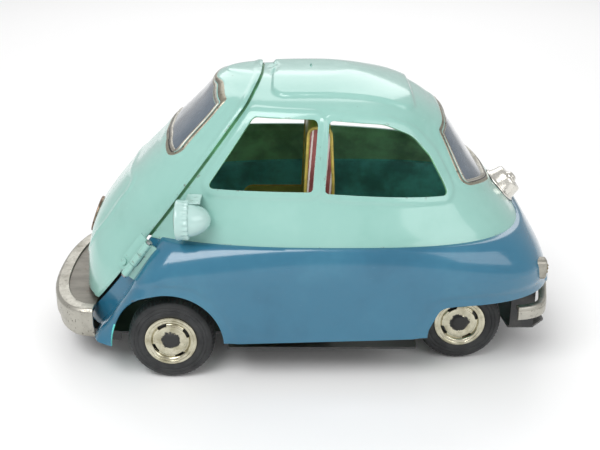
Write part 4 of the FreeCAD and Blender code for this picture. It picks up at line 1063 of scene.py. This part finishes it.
FRONT_AXLE_X, REAR_AXLE_X, AXLE_HEIGHT = -40.7, 50.0, 13.4
WHEELS = (("front_left", "front_wheels", FRONT_AXLE_X, -41.6, -1),
          ("front_right", "front_wheels", FRONT_AXLE_X, 41.6, 1),
          ("rear_left", "rear_wheels", REAR_AXLE_X, -29.7, -1),
          ("rear_right", "rear_wheels", REAR_AXLE_X, 29.7, 1))
TYRE_WIDTH = 8.5
TYRE_SIDE = ((7.9, 1.2), (7.95, 0.5), (8.6, 0.15), (9.2, 0.0), (9.9, 0.05), (10.1, 0.25), (10.3, 0.05),
             (11.0, 0.1), (11.2, 0.32), (11.4, 0.15), (12.0, 0.45), (12.6, 0.95), (13.0, 1.5), (13.2, 1.9),
             (13.35, 2.4), (13.4, 3.0), (13.15, 3.2), (13.15, 3.5), (13.4, 3.7))
BARREL_CORNERS = ((7.85, 0.5), (7.85, 8.3), (7.3, 8.3), (7.3, 1.3), (1.9, 1.2), (1.9, 8.0),
                  (1.25, 8.0), (1.25, 1.0))


def wheel(name, owner, x, face, side):
    """A tyre with a grooved side and a ribbed shoulder, a pressed hub disc and a plain barrel."""
    place = ((x, face, AXLE_HEIGHT), (0, -side, 0))
    far_side = tuple((radius, TYRE_WIDTH - along) for radius, along in reversed(TYRE_SIDE))
    profile = rounded_profile(TYRE_SIDE + far_side, 0.12, 2)
    ribbed = [float(1.2 < min(along, TYRE_WIDTH - along) < 2.8) for _, along in profile]
    tyre = lathe("tyre_" + name, profile, *place, RUBBER, 384, 30, ribs=64, depth=0.28, fluted=ribbed)
    plate = hub_plate(name, x, face, side)
    barrel = lathe("hub_barrel_" + name, rounded_profile(BARREL_CORNERS, 0.2), *place, BLACK)
    attach(tyre, owner, name + "_tyre")
    attach(plate, owner, name + "_hub")
    attach(barrel, owner, name + "_hub")


HUB_PROFILE = ((0.0, 0.0), (1.0, 0.0), (1.9, 0.05), (2.3, 0.35), (2.7, 0.55), (3.4, 0.5), (4.2, 0.3),
               (4.8, 0.3), (5.4, 0.45), (5.7, 0.8), (5.9, 0.85), (6.15, 0.5), (6.35, 0.2), (6.7, 0.1),
               (7.0, 0.25), (7.2, 0.1), (7.5, 0.0), (7.75, 0.1), (7.85, 0.5))
HUB_SET = 0.25
HUB_TURN = 0.3 + math.pi / 4
HUB_COLUMNS = 192
SLOT_REACH, SLOT_HALF_LENGTH, SLOT_HALF_WIDTH = 5.35, 1.1, 0.42


def hub_plate(name, x, face, side):
    """Pressed wheel disc: rolled rim, stepped ring, four slots and a sunk middle."""
    table = np.array(HUB_PROFILE)
    radii = np.unique(np.concatenate([np.linspace(0.02, table[-1, 0], 60), table[1:, 0]]))
    depth = np.interp(radii, table[:, 0], table[:, 1])
    depth = np.convolve(np.pad(depth, 1, mode="edge"), (0.25, 0.5, 0.25), "valid")
    angle = np.arange(HUB_COLUMNS) * 2 * math.pi / HUB_COLUMNS
    rows = []
    for radius, deep in zip(radii, depth):
        rows.append(np.stack([x + radius * np.cos(angle),
                              np.full(HUB_COLUMNS, face - side * (deep + HUB_SET)),
                              AXLE_HEIGHT + radius * np.sin(angle)], 1))

    def slots(spots):
        reach = np.hypot(spots[:, 0] - x, spots[:, 2] - AXLE_HEIGHT)
        turn = np.arctan2(spots[:, 2] - AXLE_HEIGHT, spots[:, 0] - x) + HUB_TURN
        local = (turn + math.pi / 4) % (math.pi / 2) - math.pi / 4
        arc = np.maximum(np.abs(local) * 5.3 - SLOT_HALF_LENGTH, 0)
        return np.hypot(reach - SLOT_REACH, arc) - SLOT_HALF_WIDTH

    points, faces = trimmed(np.array(rows), slots)
    if side > 0:
        faces = [tuple(reversed(loop)) for loop in faces]
    return sheet_metal("hub_disc_" + name, points, faces, HUB_FRONT if x < 0 else HUB_REAR, 0.35, 0.06)


HUB_REACH = 8.0


def hub_metal(name, x, dark_reach):
    """Gilt plating with a black-painted middle that has mostly rubbed away."""
    shader = Shader(name, (0.58, 0.55, 0.41), 0.16, 1.0)
    cloud = shader.noise(240, 5, 0.65)
    gilt = shader.ramp(cloud, ((0.3, (0.38, 0.35, 0.24)), (0.6, (0.62, 0.59, 0.46)),
                               (0.8, (0.74, 0.72, 0.62))))
    along = shader.math("SUBTRACT", shader.axis("X"), x * MM)
    above = shader.math("SUBTRACT", shader.axis("Z"), AXLE_HEIGHT * MM)
    squares = shader.math("ADD", shader.times(along, along), shader.times(above, above))
    reach = shader.math("SQRT", squares)
    wander = shader.math("SUBTRACT", shader.noise(420, 5, 0.75), 0.5)
    ragged = shader.math("ADD", reach, shader.times(wander, 3.4 * MM))
    edge = dark_reach / HUB_REACH
    paint_left = shader.grey(shader.times(ragged, 1 / (HUB_REACH * MM)), 1, 0, edge - 0.02, edge + 0.02)
    flecks = shader.grey(shader.noise(1700, 3, 0.7), 0, 1, 0.66, 0.7)
    ring = shader.grey(shader.times(reach, 1 / (HUB_REACH * MM)), 0, 1, 0.3, 0.95)
    flecks = shader.times(flecks, shader.math("SUBTRACT", 1.0, ring, True), True)
    dark = shader.math("MAXIMUM", paint_left, flecks)
    shader.color(shader.mix(dark, gilt, (0.02, 0.02, 0.02)))
    shader.set("Metallic", shader.math("SUBTRACT", 1.0, dark, True))
    shader.set("Roughness", shader.math("ADD", shader.times(dark, 0.4), shader.grey(cloud, 0.1, 0.26)))
    shader.bump(cloud, 0.04, 0.3)
    return shader.material


# ------------------------ the seat

SEAT_CUSHION = rounded_outline(((-21.0, 22.0), (1.5, 22.0), (1.5, 39.5), (-21.0, 39.5)),
                               (0.6, 0.6, 0.6, 3.0), 6)
SEAT_BACK = rounded_outline(((-0.8, 22.0), (9.2, 22.0), (9.2, 60.0), (8.4, 77.0), (1.7, 77.0), (0.9, 62.0)),
                            (0.6, 0.6, 20.0, 2.4, 2.2, 20.0), 8)
SEAT_ROWS = ((-26.0, 0.5), (-25.4, 0.0), (25.4, 0.0), (26.0, 0.5))   # y, and how far the edge is drawn in


def seat():
    """One pressed bench: cushion and leaning back in one tin sheet, printed on its two ends."""
    for name, outline in (("seat_cushion", SEAT_CUSHION), ("seat_back", SEAT_BACK)):
        loop, normals = even_loop(outline, 120)
        rows = [[(x, y, z) for x, z in loop - normals * inset] for y, inset in SEAT_ROWS]
        part = loft(name, rows, SEAT_PAINT_WITH_SHADE, capped=True)
        part.data.materials.append(SEAT_PRINT)
        weld(part)
        for face in part.data.polygons:
            face.material_index = int(abs(face.normal.y) > 0.9)
        smooth(part, 40)
        piping = [tube(name + "_piping", [(x, side * 25.7, z) for x, z in loop], 0.45, SEAT_PIPING)
                  for side in (-1, 1)]
        for piece in (part, *piping):
            attach(piece, CAR, "seat_bench")


def seat_paint_with_shade():
    # The seat's yellow lacquer, painted a darker olive as painted shade of the cabin falling on it.
    shader = Shader("seat_yellow_painted_shade", (0.36, 0.35, 0.05), 0.4)
    wash = shader.noise(60, 4, 0.6)
    shader.tint(wash, (0.3, (0.27, 0.26, 0.035)), (0.7, (0.46, 0.43, 0.08)))
    shader.rough(wash, 0.3, 0.5)
    shader.bump(shader.noise(500, 2, 0.5), 0.03, 0.4)
    return shader.material


STRIPE_WIDTH = 1.7


def seat_print():
    """Upright white and rust-red printed stripes, rubbed thin in places."""
    shader = Shader("seat_stripes", (0.2, 0.05, 0.05), 0.42)
    lean = shader.math("SUBTRACT", shader.axis("X"), shader.times(shader.axis("Z"), 0.08))
    ragged = shader.math("ADD", lean, shader.times(shader.noise(900, 2, 0.5), 0.25 * MM))
    wave = shader.math("SINE", shader.times(ragged, 2 * math.pi / (STRIPE_WIDTH * MM)))
    stripe = shader.grey(shader.math("ADD", shader.times(wave, 0.5), 0.5), 0, 1, 0.72, 0.82)
    wash = shader.noise(150, 4, 0.6)
    red = shader.ramp(wash, ((0.3, (0.16, 0.04, 0.04)), (0.7, (0.32, 0.095, 0.085))))
    shader.color(shader.mix(stripe, red, (0.66, 0.58, 0.54)))
    shader.rough(wash, 0.34, 0.55)
    shader.bump(wash, 0.03, 0.3)
    return shader.material


HUB_FRONT = hub_metal("front_hub_gilt", FRONT_AXLE_X, 2.9)
HUB_REAR = hub_metal("rear_hub_gilt", REAR_AXLE_X, 3.0)
SEAT_PAINT_WITH_SHADE, SEAT_PRINT = seat_paint_with_shade(), seat_print()
SEAT_PIPING = washed("seat_piping", (0.33, 0.27, 0.075), 0.0, (300, 3, 0.6),
                     ((0.3, (0.36, 0.29, 0.06)), (0.7, (0.62, 0.48, 0.10))), 0.42, (0.35, 0.5), (0.03, 0.3))


# ------------------------ carried-over pieces

CARRIED = {
    MINT: ("door_hinge_leaf", "body_hinge_leaf", "hinge_rivet"),
    LAMP_MINT: ("headlamp_tab_left", "headlamp_tab_right"),
    TIN: ("front_apron_plate", "front_axle_bracket", "motor_frame"),
    BLACK: ("base_plate",),
    STEEL: ("hinge_pin", "front_axle", "rear_axle", "idler_shaft", "idler_pinion",
            "flywheel_shaft", "flywheel_pinion", "flywheel"),
    BRASS: ("axle_gear", "idler_gear"),
}


def paint_carried():
    """Gives their materials to the CAD pieces that are shown as they are."""
    for material, nodes in CARRIED.items():
        for node in nodes:
            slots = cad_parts[node].data.materials
            slots.clear()
            slots.append(material)


# ------------------------ floor, light and camera

FLOOR_HALF = 3000


def studio():
    world = bpy.data.worlds.new("studio")
    bpy.context.scene.world = world
    world.use_nodes = True
    background = world.node_tree.nodes["Background"]
    background.inputs["Color"].default_value = (1, 1, 1, 1)
    background.inputs["Strength"].default_value = 0.6
    corners = [(x * FLOOR_HALF, y * FLOOR_HALF, 0) for x, y in ((-1, -1), (1, -1), (1, 1), (-1, 1))]
    white = Shader("floor_white", (0.93, 0.93, 0.93), 0.6).material
    floor = mesh_object("studio_floor", corners, [(0, 1, 2, 3)], white)
    softbox("key", (-260, -420, 620), (0, 0, 40), 0.5, 3.3)
    softbox("fill", (520, -520, 420), (10, 0, 40), 0.6, 1.5)
    softbox("back", (0, 620, 520), (0, 0, 50), 0.7, 1.8)


def softbox(name, spot, aim, size, power):
    light = bpy.data.lights.new(name, "AREA")
    light.shape = "RECTANGLE"
    light.size = size
    light.size_y = size * 0.7
    light.energy = power
    lamp = add(name, light)
    lamp.location = Vector(spot) * MM
    lamp.rotation_euler = (Vector(aim) - Vector(spot)).to_track_quat("-Z", "Y").to_euler()


def camera():
    """Level across, looking down on the car's left side."""
    lens = bpy.data.cameras.new("camera")
    lens.sensor_width = 36.0
    lens.lens = 59.94
    eye = add("camera", lens)
    eye.location = Vector((-0.76, -311.74, 164.72)) * MM
    aim = Vector((-0.0005, 0.9231, -0.3845))
    eye.rotation_euler = aim.to_track_quat("-Z", "Y").to_euler()
    bpy.context.scene.camera = eye


def look():
    scene = bpy.context.scene
    scene.view_settings.view_transform = "Standard"
    scene.view_settings.look = "None"
    scene.view_settings.exposure = 0.0


def main():
    paint_carried()
    upper_body()
    door()
    door_lip()
    lower_body()
    screen("windscreen", WINDSCREEN, False, DOOR_PROUD, DOOR, "windscreen_frame", "windscreen_pane")
    screen("rear_screen", REAR_SCREEN, True, 0.0, CAR, "rear_window_frame", "rear_window_pane")
    front_bumper()
    rear_bumper()
    for side in (-1, 1):
        headlamp(side)
        tail_lamp(side)
    rear_lamp()
    badge()
    for spec in WHEELS:
        wheel(*spec)
    seat()
    studio()
    camera()
    look()


main()
